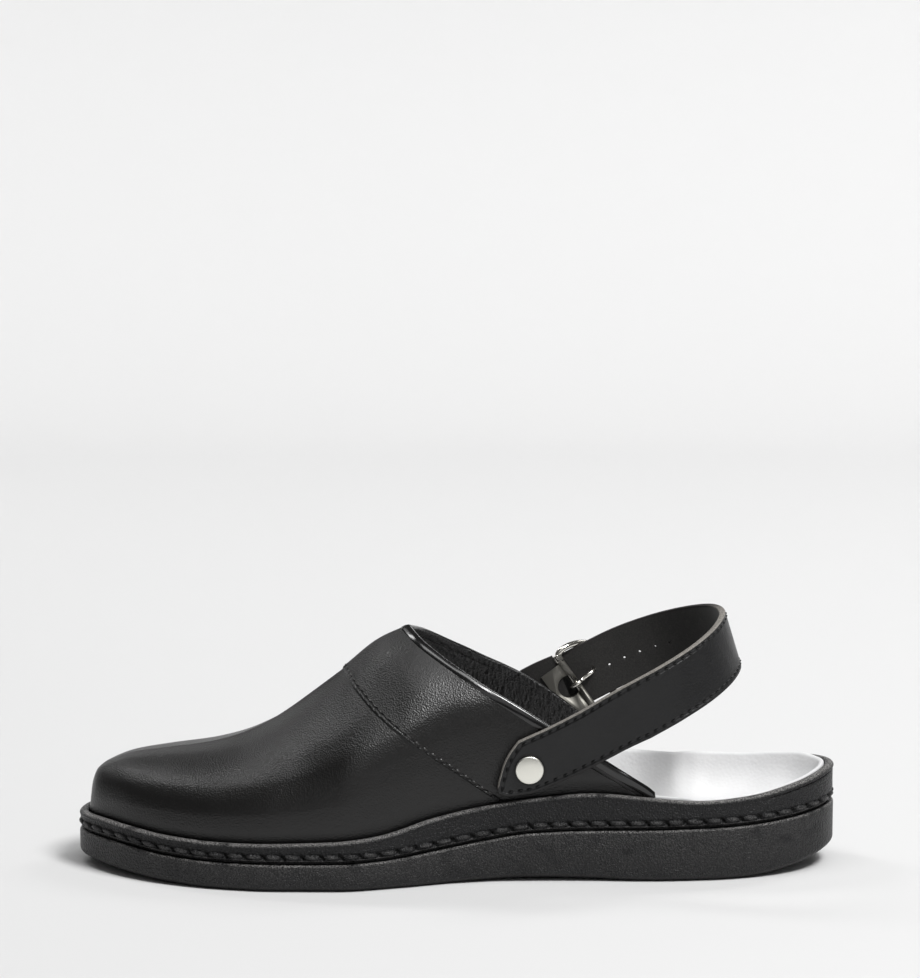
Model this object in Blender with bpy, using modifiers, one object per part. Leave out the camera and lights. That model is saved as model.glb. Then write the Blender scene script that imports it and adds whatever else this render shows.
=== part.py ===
"""Chef clog, left foot: a closed-toe leather mule on a stitched two-layer sole, with a riveted heel strap.

Metres, +Z up. The origin is the centre of the flat heel tread, on the floor. The toe points along -X and the
heel along +X. The outer side of the foot is at -Y and the inner side at +Y.
"""

import math
from collections import namedtuple

import bmesh
import bpy
import numpy as np
from mathutils import Matrix, Vector
from mathutils.bvhtree import BVHTree

MM = 0.001
GAP = 0.3 * MM

# Driving sizes of the last and the sole
SOLE_LENGTH = 285 * MM
BALL_WIDTH = 102 * MM
WAIST_WIDTH = 71 * MM
HEEL_WIDTH = 72 * MM
SOLE_HEIGHT = 30 * MM
UPPER_HEIGHT = 60 * MM
STRAP_HEIGHT = 85 * MM
HEEL_SEAT_ALONG = 0.8
TOE_X = -HEEL_SEAT_ALONG * SOLE_LENGTH

# Sole details
TREAD_EDGE = 2.4 * MM
OUTSOLE_BEVEL = 0.7 * MM
TREAD_GROOVE_DEPTH = 1.6 * MM
TREAD_GROOVE_WIDTH = 3.0 * MM
TREAD_PITCH = 9.0 * MM
TREAD_MARGIN = 9.0 * MM
TREAD_RUNS = ((0.13, 0.42), (0.735, 0.915))
PARTING_GROOVE = 1.3 * MM
SOLE_DISH = 5.0 * MM
MIDSOLE_FLOOR = 2.6 * MM
RIM_WIDTH = 3.4 * MM
RIM_BEAD = 2.2 * MM
INSOLE_THICKNESS = 2.6 * MM
INSOLE_LIP = 1.0 * MM
INSOLE_ROUNDING = 0.5 * MM
INSOLE_WALL = 16 * MM

# Upper and its collar
UPPER_WALL = 2.0 * MM
UPPER_FIT = 0.45 * MM
PANEL_STEP = 0.7 * MM
PIPING_RADIUS = 1.25 * MM
PIPING_SPARE = 0.1 * MM
SEAM_SHARE = 0.74
SEAM_RISE = 0.004
CROWN_THINNING = 1.15

# Heel strap, buckle strap and their rivets
STRAP_WIDTH = 22.5 * MM
STRAP_THICKNESS = 2.4 * MM
STRAP_LEAN = 17
STRAP_TILT = -0.05
STRAP_EDGE = 0.5 * MM
STRAP_STANDOFF = GAP + PIPING_RADIUS - UPPER_WALL / 2 + PIPING_SPARE
TAB_WIDTH = 19 * MM
TAB_THICKNESS = 2.0 * MM
LANDING = 22 * MM
RIVET_HEAD_RADIUS = 5.2 * MM
RIVET_HEAD_HEIGHT = 1.5 * MM
RIVET_SHANK_RADIUS = 1.6 * MM
RIVET_WASHER_RADIUS = 4.2 * MM
RIVET_WASHER_THICKNESS = 0.8 * MM
BORE_SPARE = 2 * MM
OUTER_RIVET_ALONG = 0.594
OUTER_RIVET_UP = 42.3 * MM
INNER_RIVET_ALONG = 0.578
INNER_RIVET_UP = 46.3 * MM

# Buckle
BAR_ALONG = 0.657
BAR_UP = 58.8 * MM
BAR_STANDOFF = 2.45 * MM
FRAME_WIRE = 1.2 * MM
FRAME_LENGTH = 16.5 * MM
FRAME_CORNER = 3.0 * MM
FRAME_PLAY = 0.6 * MM
PLATE_THICKNESS = 0.6 * MM
PLATE_LENGTH = 7.5 * MM
PLATE_WIDTH = 17 * MM
PRONG_WIRE = 0.75 * MM
PRONG_SLOT = 3.2 * MM
PRONG_GAP = 2.6 * MM
CUT_THROUGH = 8 * MM
TAB_REACH = 27 * MM
HOLE_RADIUS = 1.2 * MM
HOLE_PITCH = 6.5 * MM
PRONG_HOLE = 8.4 * MM
SPARE_HOLES = 5
FREE_END = 16.5 * MM

# Mesh fineness
STRAP_STEP = 4 * MM
RING = 68
UPPER_STATIONS = 22
UPPER_TURNS = 13
TOE_CROWDING = 1.35
RIVET_STEPS = 18
BORE_SIDES = 20
HOLE_SIDES = 12
TAB_STATIONS = 14

# Plan outline of the sole. along: share of the length from the toe. outer, inner: distance from the axis
# through the heel to each side, as shares of the width in the last column.
Outline = namedtuple("Outline", "along outer inner width")
OUTLINE = (
    Outline(0.00, 0.015, -0.015, BALL_WIDTH),
    Outline(0.03, 0.185, 0.198, BALL_WIDTH),
    Outline(0.07, 0.297, 0.316, BALL_WIDTH),
    Outline(0.12, 0.390, 0.400, BALL_WIDTH),
    Outline(0.19, 0.470, 0.462, BALL_WIDTH),
    Outline(0.27, 0.510, 0.486, BALL_WIDTH),
    Outline(0.35, 0.512, 0.475, BALL_WIDTH),
    Outline(0.43, 0.455, 0.432, BALL_WIDTH),
    Outline(0.50, 0.556, 0.545, WAIST_WIDTH),
    Outline(0.57, 0.510, 0.492, WAIST_WIDTH),
    Outline(0.65, 0.505, 0.470, WAIST_WIDTH),
    Outline(0.75, 0.510, 0.484, HEEL_WIDTH),
    Outline(0.83, 0.487, 0.478, HEEL_WIDTH),
    Outline(0.90, 0.412, 0.410, HEEL_WIDTH),
    Outline(0.96, 0.284, 0.284, HEEL_WIDTH),
    Outline(1.00, 0.000, 0.000, HEEL_WIDTH),
)

# Heights along the sole, as shares of SOLE_HEIGHT. under: the tread. parting: the top of the outsole.
# rim_outer, rim_inner: the top of the midsole's rim on each side. dish: how much of the heel dish is
# there.
Profile = namedtuple("Profile", "along under parting rim_outer rim_inner dish")
PROFILE = (
    Profile(0.00, 0.110, 0.425, 0.660, 0.660, 0.0),
    Profile(0.03, 0.090, 0.425, 0.660, 0.660, 0.0),
    Profile(0.07, 0.060, 0.407, 0.640, 0.645, 0.0),
    Profile(0.12, 0.025, 0.362, 0.600, 0.610, 0.0),
    Profile(0.20, 0.000, 0.335, 0.575, 0.590, 0.0),
    Profile(0.32, 0.000, 0.333, 0.597, 0.630, 0.0),
    Profile(0.40, 0.000, 0.350, 0.655, 0.730, 0.1),
    Profile(0.47, 0.000, 0.420, 0.820, 0.900, 0.3),
    Profile(0.54, 0.020, 0.520, 0.945, 1.060, 0.5),
    Profile(0.60, 0.040, 0.600, 1.030, 1.160, 0.7),
    Profile(0.68, 0.025, 0.630, 1.090, 1.190, 0.9),
    Profile(0.74, 0.000, 0.637, 1.050, 1.150, 1.0),
    Profile(0.82, 0.000, 0.650, 0.990, 1.110, 1.0),
    Profile(0.88, 0.010, 0.665, 1.020, 1.120, 1.0),
    Profile(0.94, 0.090, 0.710, 1.120, 1.180, 1.0),
    Profile(1.00, 0.240, 0.785, 1.260, 1.260, 1.0),
)

# Top line of the upper over the middle of the foot. along: share of the length. up: height above the
# floor, as a share of UPPER_HEIGHT plus SOLE_HEIGHT.
Ridge = namedtuple("Ridge", "along up")
RIDGE = (
    Ridge(0.000, 0.220),
    Ridge(0.006, 0.343),
    Ridge(0.014, 0.390),
    Ridge(0.028, 0.418),
    Ridge(0.060, 0.452),
    Ridge(0.110, 0.475),
    Ridge(0.165, 0.498),
    Ridge(0.205, 0.530),
    Ridge(0.250, 0.592),
    Ridge(0.300, 0.695),
    Ridge(0.350, 0.812),
    Ridge(0.400, 0.935),
    Ridge(0.440, 0.993),
)

# Sections through the upper, each leaning back more than the one before. at: share of the way from the
# toe to the collar. base, ridge: where the section meets the sole and the ridge, as shares of the length.
Section = namedtuple("Section", "at base ridge")
SECTIONS = (
    Section(0.00, 0.000, 0.000),
    Section(0.10, 0.020, 0.016),
    Section(0.25, 0.120, 0.090),
    Section(0.40, 0.250, 0.180),
    Section(0.58, 0.410, 0.275),
    Section(0.74, 0.557, 0.351),
    Section(0.87, 0.657, 0.395),
    Section(1.00, 0.748, 0.4315),
)

# Shape of one side of a section, from the rim to the ridge, in equal turns. Heights are shares of the
# section's height, widths are shares of the sole's half width there, for the toe and for the collar.
Turn = namedtuple("Turn", "toe_up toe_out collar_up collar_out")
TURNS = (
    Turn(0.00, 1.000, 0.00, 1.000),
    Turn(0.16, 1.010, 0.15, 1.015),
    Turn(0.34, 1.000, 0.30, 1.020),
    Turn(0.52, 0.955, 0.45, 1.005),
    Turn(0.69, 0.860, 0.60, 0.950),
    Turn(0.82, 0.710, 0.73, 0.800),
    Turn(0.92, 0.500, 0.84, 0.580),
    Turn(0.98, 0.250, 0.94, 0.300),
    Turn(1.00, 0.000, 1.00, 0.000),
)

# Middle line of the heel strap between its rivet and the buckle. along: share of the sole's length. out:
# share of the strap's distance from the middle at its rivet where negative, and at the buckle's bar where
# positive. up: share of STRAP_HEIGHT.
Strap = namedtuple("Strap", "along out up")
STRAP_LOOP = (
    Strap(0.655, -1.042, 0.595),
    Strap(0.727, -1.079, 0.742),
    Strap(0.789, -0.974, 0.851),
    Strap(0.838, -0.593, 0.935),
    Strap(0.8615, 0.000, 0.990),
    Strap(0.842, 0.557, 0.977),
    Strap(0.797, 0.896, 0.920),
    Strap(0.748, 1.017, 0.855),
)

# Edges of a strap from its riveted tip, as shares of its width. behind: distance from the rivet along the
# strap. above, below: from the middle line to the edges.
StrapEnd = namedtuple("StrapEnd", "behind above below")
STRAP_END = (
    StrapEnd(-0.560, 0.020, 0.110),
    StrapEnd(-0.535, 0.120, 0.210),
    StrapEnd(-0.460, 0.240, 0.325),
    StrapEnd(-0.320, 0.370, 0.420),
    StrapEnd(-0.080, 0.510, 0.480),
    StrapEnd(0.220, 0.610, 0.525),
    StrapEnd(0.580, 0.640, 0.550),
    StrapEnd(0.980, 0.610, 0.540),
    StrapEnd(1.450, 0.540, 0.515),
    StrapEnd(2.000, 0.500, 0.500),
)
FREE_TIP = (
    StrapEnd(0.000, 0.150, 0.150),
    StrapEnd(0.060, 0.290, 0.290),
    StrapEnd(0.160, 0.400, 0.400),
    StrapEnd(0.320, 0.480, 0.480),
    StrapEnd(0.500, 0.500, 0.500),
)

# Rim of the midsole, from its foot to its inner edge. inset: share of RIM_WIDTH. down: share of RIM_BEAD.
RimPoint = namedtuple("RimPoint", "inset down")
RIM_SECTION = (
    RimPoint(0.088, 1.18),
    RimPoint(0.206, 1.00),
    RimPoint(0.000, 0.55),
    RimPoint(0.250, 0.00),
    RimPoint(0.800, 0.00),
    RimPoint(1.000, 0.18),
)

# Side of the midsole between the outsole and the rim's foot, with the dark parting groove and the
# recessed band for the stitches. inset: distance in from the sole's edge. up: height above the parting.
BandPoint = namedtuple("BandPoint", "inset up")
STITCH_BAND = (
    BandPoint(PARTING_GROOVE, GAP),
    BandPoint(PARTING_GROOVE, 0.9 * MM),
    BandPoint(0.5 * MM, 1.3 * MM),
    BandPoint(0.5 * MM, 1.7 * MM),
    BandPoint(1.1 * MM, 2.1 * MM),
    BandPoint(1.1 * MM, 3.6 * MM),
    BandPoint(0.3 * MM, 4.2 * MM),
)

# The sole's dish: how far its layers sink below their edge. inset: distance in from the sole's edge.
# depth: share of SOLE_DISH.
DishPoint = namedtuple("DishPoint", "inset depth")
DISH = (
    DishPoint(4.5 * MM, 0.00),
    DishPoint(9.0 * MM, 0.35),
    DishPoint(14.0 * MM, 0.75),
    DishPoint(19.0 * MM, 1.00),
)

# Inner side of the footbed's edge. inward: share of INSOLE_WALL. up: share of the way from the seat to
# the edge.
WallPoint = namedtuple("WallPoint", "inward up")
FOOTBED_WALL = (
    WallPoint(0.034, 1.00),
    WallPoint(0.090, 1.00),
    WallPoint(0.146, 0.86),
    WallPoint(0.250, 0.58),
    WallPoint(0.438, 0.30),
    WallPoint(0.688, 0.10),
    WallPoint(1.000, 0.00),
)

# Where along the sole the footbed stops leaving room for the upper's wall, and where its edge climbs to
# the rim
FOOTBED_WIDENS = (0.790, 0.815)
FOOTBED_RISES = (0.52, 0.74)

# Where the upper changes on its way from the toe to the collar, and where the panel step fades in above
# the rim
COLLAR_BLEND = (0.15, 0.75)
CROWN_BLEND = (0.0, 0.10)
STEP_FADE = (0.02, 0.12)

# Domed head of a rivet. out: share of RIVET_HEAD_RADIUS. up: share of RIVET_HEAD_HEIGHT.
DomePoint = namedtuple("DomePoint", "out up")
RIVET_DOME = (
    DomePoint(0.00, 1.00),
    DomePoint(0.45, 0.95),
    DomePoint(0.75, 0.80),
    DomePoint(0.93, 0.50),
    DomePoint(1.00, 0.15),
    DomePoint(0.97, 0.00),
)

# Buckle prong. up to its hole, back: share of PRONG_HOLE, and out: share of the strap's lift off the bar.
# Past the hole, back: share of the way from the hole to the frame's end, and out: share of the way from
# the strap's face to just over the frame.
ProngPoint = namedtuple("ProngPoint", "back out")
PRONG_EYE = (140, 335)
PRONG_RISE = (
    ProngPoint(0.345, -0.110),
    ProngPoint(0.810, 0.083),
    ProngPoint(0.952, 0.333),
    ProngPoint(1.000, 0.667),
    ProngPoint(1.012, 1.333),
)
PRONG_REACH = (
    ProngPoint(0.110, 0.485),
    ProngPoint(0.370, 1.000),
    ProngPoint(1.000, 1.227),
    ProngPoint(1.185, 1.000),
)

COLOURS = {
    "rubber": ((0.022, 0.022, 0.024), 0.62, 0.0),
    "leather": ((0.020, 0.020, 0.021), 0.42, 0.0),
    "piping": ((0.012, 0.012, 0.012), 0.22, 0.0),
    "footbed": ((0.80, 0.80, 0.80), 0.75, 0.0),
    "nickel": ((0.62, 0.60, 0.56), 0.25, 1.0),
}


def smooth(at, knots, values):
    """Cubic curve through the knots, with the harmonic mean of the slopes at each, so that it never
    overshoots."""
    at = np.asarray(at, float)
    knots = np.asarray(knots, float)
    values = np.asarray(values, float)
    step = np.diff(knots)
    slope = np.diff(values) / step
    before, after = slope[:-1], slope[1:]
    rising = before * after > 0
    mean = 2 * before * after / np.where(rising, before + after, 1.0)
    tangent = np.concatenate(([slope[0]], np.where(rising, mean, 0.0), [slope[-1]]))
    i = np.clip(np.searchsorted(knots, at, side="right") - 1, 0, len(knots) - 2)
    s = (at - knots[i]) / step[i]
    return (
        values[i] * (1 + 2 * s) * (1 - s) ** 2
        + values[i + 1] * s * s * (3 - 2 * s)
        + step[i] * tangent[i] * s * (1 - s) ** 2
        - step[i] * tangent[i + 1] * s * s * (1 - s)
    )


def angle_of(along):
    """The outline's angle at a share of the length: 0 at the toe and pi at the heel, so both ends come
    out round."""
    return np.arccos(np.clip(1 - 2 * np.asarray(along, float), -1, 1))


def along_of(angle):
    return (1 - np.cos(angle)) / 2


def outline_edge(angle, side):
    """(x, y) of the sole's edge. side is -1 on the outer side of the foot and +1 on the inner side."""
    knots = angle_of([row.along for row in OUTLINE])
    outs = [(row.inner if side > 0 else row.outer) * row.width for row in OUTLINE]
    x = TOE_X + along_of(angle) * SOLE_LENGTH
    return np.stack([x, side * smooth(angle, knots, outs)], axis=-1)


def outline_point(angle, side, inset):
    """(x, y) of the sole's edge, moved inwards along its normal. Past an end the curve goes on up the
    other side."""
    angle = np.asarray(angle, float)
    nudge = 0.01
    ahead, behind = angle + nudge, angle - nudge
    beyond_heel = (ahead > math.pi)[..., None]
    beyond_toe = (behind < 0)[..., None]
    after = np.where(
        beyond_heel,
        outline_edge(np.minimum(2 * math.pi - ahead, math.pi), -side),
        outline_edge(np.minimum(ahead, math.pi), side),
    )
    before = np.where(
        beyond_toe,
        outline_edge(np.abs(behind), -side),
        outline_edge(np.abs(behind), side),
    )
    tangent = after - before
    tangent /= np.linalg.norm(tangent, axis=-1, keepdims=True)
    inward = np.stack([-tangent[..., 1], tangent[..., 0]], axis=-1) * -side
    return outline_edge(angle, side) + inward * np.asarray(inset, float)[..., None]


def profile(column, along):
    """Height of one line of the sole's side at a share of the length."""
    share = smooth(along, [row.along for row in PROFILE], [getattr(row, column) for row in PROFILE])
    return share if column == "dish" else share * SOLE_HEIGHT


def rim_height(along, side):
    return profile("rim_inner" if side > 0 else "rim_outer", along)


def ring_angles():
    """Angles and sides of a ring's points: from the toe down the outer side to the heel, and back on
    the inner."""
    turn = np.arange(RING) * 2 * math.pi / RING
    return np.where(turn <= math.pi, turn, 2 * math.pi - turn), np.where(turn <= math.pi, -1, 1)


def both_sides(function, angle, side):
    """A function of angle and side, for arrays that hold points of both sides."""
    outer, inner = function(angle, -1), function(angle, 1)
    pick = side > 0
    return np.where(pick[..., None] if outer.ndim > angle.ndim else pick, inner, outer)


def sole_ring(inset, height):
    """One level ring of the sole. inset is a distance or an array. height is an array for the ring's
    points."""
    angle, side = ring_angles()
    flat = both_sides(lambda a, s: outline_point(a, s, inset), angle, side)
    return np.column_stack([flat, height])


def mesh_object(name, points, faces, material, join=1e-7):
    """A closed mesh from points and faces, with doubled points joined and its faces pointing outwards."""
    mesh = bpy.data.meshes.new(name)
    mesh.from_pydata([tuple(p) for p in points], [], faces)
    work = bmesh.new()
    work.from_mesh(mesh)
    bmesh.ops.remove_doubles(work, verts=work.verts, dist=join)
    bmesh.ops.dissolve_degenerate(work, edges=work.edges, dist=join)
    bmesh.ops.recalc_face_normals(work, faces=work.faces)
    work.to_mesh(mesh)
    work.free()
    return add_object(name, mesh, material)


def add_object(name, data, material, smooth_angle=35):
    """Links an object into the clog's collection with its material."""
    obj = bpy.data.objects.new(name, data)
    CLOG.objects.link(obj)
    data.materials.clear()
    data.materials.append(MATERIALS[material])
    if isinstance(data, bpy.types.Mesh):
        data.shade_smooth()
        data.set_sharp_from_angle(angle=math.radians(smooth_angle))
    return obj


def make_material(name):
    colour, roughness, metallic = COLOURS[name]
    material = bpy.data.materials.new(name)
    material.use_nodes = True
    shader = material.node_tree.nodes["Principled BSDF"]
    shader.inputs["Base Color"].default_value = (*colour, 1)
    shader.inputs["Roughness"].default_value = roughness
    shader.inputs["Metallic"].default_value = metallic
    return material


def ring_solid(name, rings, material):
    """A solid from level rings, each joined to the next, and closed by strips across its first and
    last rings."""
    points = np.concatenate(rings)
    faces = []
    for level in range(len(rings) - 1):
        low, high = level * RING, (level + 1) * RING
        for i in range(RING):
            j = (i + 1) % RING
            faces.append((low + i, low + j, high + j, high + i))
    for start in (0, (len(rings) - 1) * RING):
        for i in range(RING // 2):
            strip = [start + i, start + i + 1, start + RING - i - 1, start + (RING - i) % RING]
            faces.append(tuple(dict.fromkeys(strip)))
    return mesh_object(name, points, faces, material)


def dish_drop(angle, inset):
    """Depth of the dish below its edge at a point this far in from the sole's edge."""
    share = np.interp(inset, [row.inset for row in DISH], [row.depth for row in DISH])
    return profile("dish", along_of(angle)) * SOLE_DISH * share


def make_outsole():
    """Rubber outsole: tread, rounded lower edge, upright side and a dished top that stays under the
    parting."""
    angle, _ = ring_angles()
    along = along_of(angle)
    under, top = profile("under", along), profile("parting", along)
    rings = [
        sole_ring(TREAD_EDGE, under),
        sole_ring(0.3 * TREAD_EDGE, under + 0.3 * TREAD_EDGE),
        sole_ring(0, under + TREAD_EDGE),
        sole_ring(0, top - OUTSOLE_BEVEL),
        sole_ring(OUTSOLE_BEVEL, top),
    ]
    rings += [sole_ring(row.inset, top - dish_drop(angle, row.inset)) for row in DISH]
    outsole = ring_solid("outsole", rings, "rubber")
    cut_tread(outsole)
    return outsole


def tread_lines():
    """Places along X of the tread's grooves, under the forefoot and under the heel. They stand half a
    pitch to each side of the origin, so that the origin lies on a rib."""
    places = (np.arange(-SOLE_LENGTH // TREAD_PITCH, SOLE_LENGTH // TREAD_PITCH) + 0.5) * TREAD_PITCH
    along = (places - TOE_X) / SOLE_LENGTH
    return [x for x, share in zip(places, along) if any(start < share < end for start, end in TREAD_RUNS)]


def cut_tread(outsole):
    """Cuts straight grooves across the tread, each ending TREAD_MARGIN inside the edge."""
    work = bmesh.new()
    for x in tread_lines():
        angle = angle_of((x - TOE_X) / SOLE_LENGTH)
        outer = outline_edge(angle, -1)[1] + TREAD_MARGIN
        inner = outline_edge(angle, 1)[1] - TREAD_MARGIN
        floor = float(profile("under", along_of(angle)))
        box = bmesh.ops.create_cube(work, size=1)["verts"]
        bmesh.ops.scale(work, vec=(TREAD_GROOVE_WIDTH, inner - outer, 2 * TREAD_GROOVE_DEPTH), verts=box)
        bmesh.ops.translate(work, vec=(x, (inner + outer) / 2, floor), verts=box)
    mesh = bpy.data.meshes.new("tread_cutter")
    work.to_mesh(mesh)
    work.free()
    cut(outsole, cutter_object("tread_cutter", mesh))


def cutter_object(name, mesh):
    cutter = bpy.data.objects.new(name, mesh)
    CUTTERS.objects.link(cutter)
    cutter.hide_render = True
    cutter.display_type = "WIRE"
    return cutter


def cut(target, cutter):
    boolean = target.modifiers.new(cutter.name, "BOOLEAN")
    boolean.operation = "DIFFERENCE"
    boolean.object = cutter
    boolean.solver = "EXACT"


def floor_height(angle, inset):
    """Top of the midsole inside its rim."""
    return profile("parting", along_of(angle)) + GAP + MIDSOLE_FLOOR - dish_drop(angle, inset)


def make_midsole():
    """Midsole tray: parting groove, recessed stitch band, beaded rim, and a dished floor for the
    footbed."""
    angle, side = ring_angles()
    along = along_of(angle)
    parting = profile("parting", along)
    rim = both_sides(lambda a, s: rim_height(along_of(a), s), angle, side)
    rings = [sole_ring(row.inset, parting + GAP - dish_drop(angle, row.inset)) for row in DISH[::-1]]
    rings += [sole_ring(row.inset, parting + row.up) for row in STITCH_BAND]
    rings += [sole_ring(row.inset * RIM_WIDTH, rim - row.down * RIM_BEAD) for row in RIM_SECTION]
    rings.append(sole_ring(RIM_WIDTH, floor_height(angle, RIM_WIDTH)))
    rings += [sole_ring(row.inset, floor_height(angle, row.inset)) for row in DISH]
    return ring_solid("midsole", rings, "rubber")


def ease(value, limits):
    """0 before the first limit, 1 after the second, and a smooth step between them."""
    s = np.clip((value - limits[0]) / (limits[1] - limits[0]), 0, 1)
    return s * s * (3 - 2 * s)


def make_insole():
    """Footbed: a plate on the midsole's floor, whose edge climbs to the rim around the open heel."""
    angle, side = ring_angles()
    along = along_of(angle)
    beside_wall = RIM_WIDTH + UPPER_FIT + UPPER_WALL + UPPER_FIT
    edge = beside_wall + (RIM_WIDTH + GAP - beside_wall) * ease(along, FOOTBED_WIDENS)
    rim = both_sides(lambda a, s: rim_height(along_of(a), s), angle, side)
    low_edge = floor_height(angle, edge) + GAP + INSOLE_THICKNESS + INSOLE_LIP
    top = low_edge + (rim - low_edge) * ease(along, FOOTBED_RISES)
    seat = floor_height(angle, DISH[-1].inset) + GAP + INSOLE_THICKNESS
    rings = [sole_ring(row.inset, floor_height(angle, row.inset) + GAP) for row in DISH[:0:-1]]
    rings.append(sole_ring(edge, floor_height(angle, edge) + GAP))
    rings.append(sole_ring(edge, top - INSOLE_ROUNDING))
    for row in FOOTBED_WALL:
        rings.append(sole_ring(edge + row.inward * INSOLE_WALL, seat + row.up * (top - seat)))
    return ring_solid("insole", rings, "footbed")


def section_places(at):
    """Where a section of the upper meets the sole and the ridge, as shares of the length."""
    knots = [row.at for row in SECTIONS]
    return (
        smooth(at, knots, [row.base for row in SECTIONS]),
        smooth(at, knots, [row.ridge for row in SECTIONS]),
    )


def upper_point(at, turn, side, depth):
    """(x, y, z) on the upper. at runs from the toe to the collar, and turn from the rim to the ridge.
    depth is how far inside the outer face the point lies."""
    at, turn = np.broadcast_arrays(np.asarray(at, float), np.asarray(turn, float))
    base, ridge = section_places(at)
    turns = np.linspace(0, 1, len(TURNS))
    toe_up = smooth(turn, turns, [row.toe_up for row in TURNS])
    toe_out = smooth(turn, turns, [row.toe_out for row in TURNS])
    collar_up = smooth(turn, turns, [row.collar_up for row in TURNS])
    collar_out = smooth(turn, turns, [row.collar_out for row in TURNS])
    collar_part = ease(at, COLLAR_BLEND)
    up = toe_up + (collar_up - toe_up) * collar_part
    out = toe_out + (collar_out - toe_out) * collar_part
    raised = PANEL_STEP * (at > SEAM_SHARE) * ease(up, STEP_FADE)
    depth = depth - raised
    angle = angle_of(base + (ridge - base) * up)
    outer = outline_point(angle, -1, RIM_WIDTH + UPPER_FIT + depth)
    inner = outline_point(angle, 1, RIM_WIDTH + UPPER_FIT + depth)
    middle = (outer[..., 1] + inner[..., 1]) / 2
    edge = inner if side > 0 else outer
    low = rim_height(base, side)
    ridge_up = smooth(ridge, [row.along for row in RIDGE], [row.up for row in RIDGE])
    high = ridge_up * (UPPER_HEIGHT + SOLE_HEIGHT)
    thinner = depth * ease(at, CROWN_BLEND) * CROWN_THINNING
    z = low + (high - low - thinner) * up
    y = middle + (edge[..., 1] - middle) * out
    return np.stack([edge[..., 0], y, z], axis=-1)


def skirt_point(at, side, depth):
    """Lower edge of the upper's wall, which stands on the midsole's floor between the rim and the
    footbed."""
    base, _ = section_places(np.asarray(at, float))
    angle = angle_of(base)
    inset = RIM_WIDTH + UPPER_FIT + depth
    flat = outline_point(angle, side, inset)
    floor = floor_height(angle, inset) + UPPER_FIT
    return np.column_stack([flat, floor])


def upper_stations():
    """Shares of the way from the toe to the collar, close together at the toe and doubled at the panel
    seam."""
    eased = np.linspace(0, 1, UPPER_STATIONS) ** TOE_CROWDING
    kept = eased[np.abs(eased - SEAM_SHARE) > 3 * SEAM_RISE]
    return np.sort(np.concatenate([kept, (SEAM_SHARE, SEAM_SHARE + SEAM_RISE)]))


def upper_sheet(depth):
    """Grid of points over the whole upper at one depth: skirt, outer side, ridge, inner side, skirt."""
    stations = upper_stations()
    turns = np.linspace(0, 1, UPPER_TURNS)
    rows = []
    for at in stations:
        outer = upper_point(np.full_like(turns, at), turns, -1, depth)
        inner = upper_point(np.full_like(turns, at), turns, 1, depth)
        skirts = [skirt_point([at], side, depth) for side in (-1, 1)]
        rows.append(np.concatenate([skirts[0], outer, inner[-2::-1], skirts[1]]))
    return np.array(rows)


def make_upper():
    """Closed-toe leather upper: one wall between an outer and an inner sheet, open at the collar and
    below."""
    outside, inside = upper_sheet(0), upper_sheet(UPPER_WALL)
    across, down = outside.shape[1], outside.shape[0]
    points = np.concatenate([outside.reshape(-1, 3), inside.reshape(-1, 3)])
    shift = across * down
    faces = []
    for i in range(down - 1):
        for j in range(across - 1):
            a = i * across + j
            faces.append((a, a + 1, a + across + 1, a + across))
            faces.append(tuple(shift + k for k in (a, a + across, a + across + 1, a + 1)))
    for i in range(down - 1):
        for j in (0, across - 1):
            a, b = i * across + j, (i + 1) * across + j
            faces.append((a, b, b + shift, a + shift))
    last = (down - 1) * across
    for j in range(across - 1):
        a, b = last + j, last + j + 1
        faces.append((a, b, b + shift, a + shift))
    return mesh_object("upper", points, faces, "leather", join=1e-6)


def collar_line():
    """Points outside the collar's edge for the piping's middle, clear of both corners of the wall's
    end."""
    turns = np.linspace(0, 1, UPPER_TURNS)

    def edge(at, depth):
        outer, inner = (upper_point(np.full_like(turns, at), turns, side, depth) for side in (-1, 1))
        return np.concatenate([outer, inner[-2::-1]])

    just_before = 0.97
    middle = edge(1.0, UPPER_WALL / 2)
    run = unit(np.gradient(middle, axis=0))
    away = middle - edge(just_before, UPPER_WALL / 2)
    away = unit(away - (away * run).sum(axis=1, keepdims=True) * run)
    corners = [((edge(1.0, depth) - middle) * away).sum(axis=1) for depth in (0, UPPER_WALL)]
    reach = np.maximum(*corners) + GAP + PIPING_RADIUS + PIPING_SPARE
    return middle + away * reach[:, None]


def make_piping():
    """Round piping that closes the collar's edge, standing a gap off the wall."""
    return tube("collar_piping", collar_line(), PIPING_RADIUS, "piping", resolution=2)


def tube(name, points, radius, material, resolution=2, cyclic=False):
    """A round cord along points."""
    curve = bpy.data.curves.new(name, "CURVE")
    curve.dimensions = "3D"
    curve.bevel_depth = radius
    curve.bevel_resolution = resolution
    curve.use_fill_caps = True
    spline = curve.splines.new("POLY")
    spline.points.add(len(points) - 1)
    for target, point in zip(spline.points, points):
        target.co = (*point, 1)
    spline.use_cyclic_u = cyclic
    return add_object(name, curve, material)


def upper_tree():
    """Search tree of the upper's outer face, for laying straps and rivets on it."""
    outer = upper_sheet(0)
    down, across = outer.shape[:2]
    faces = [
        (i * across + j, i * across + j + 1, (i + 1) * across + j + 1, (i + 1) * across + j)
        for i in range(down - 1)
        for j in range(across - 1)
    ]
    return BVHTree.FromPolygons([tuple(p) for p in outer.reshape(-1, 3)], faces)


RAY = 40 * MM


def clearance(tree, point, outward):
    """How far a point stands outside the face along its outward direction, or None where there is no
    face."""
    start = Vector(point) + Vector(outward) * RAY
    hit = tree.ray_cast(start, -Vector(outward), 2 * RAY)
    return None if hit[0] is None else hit[3] - RAY


def face_point(tree, along, up, side):
    """Point on the upper's side face at a share of the length and a height."""
    start = Vector((TOE_X + along * SOLE_LENGTH, side * BALL_WIDTH, up))
    return np.array(tree.ray_cast(start, Vector((0, -side, 0)))[0])


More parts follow.
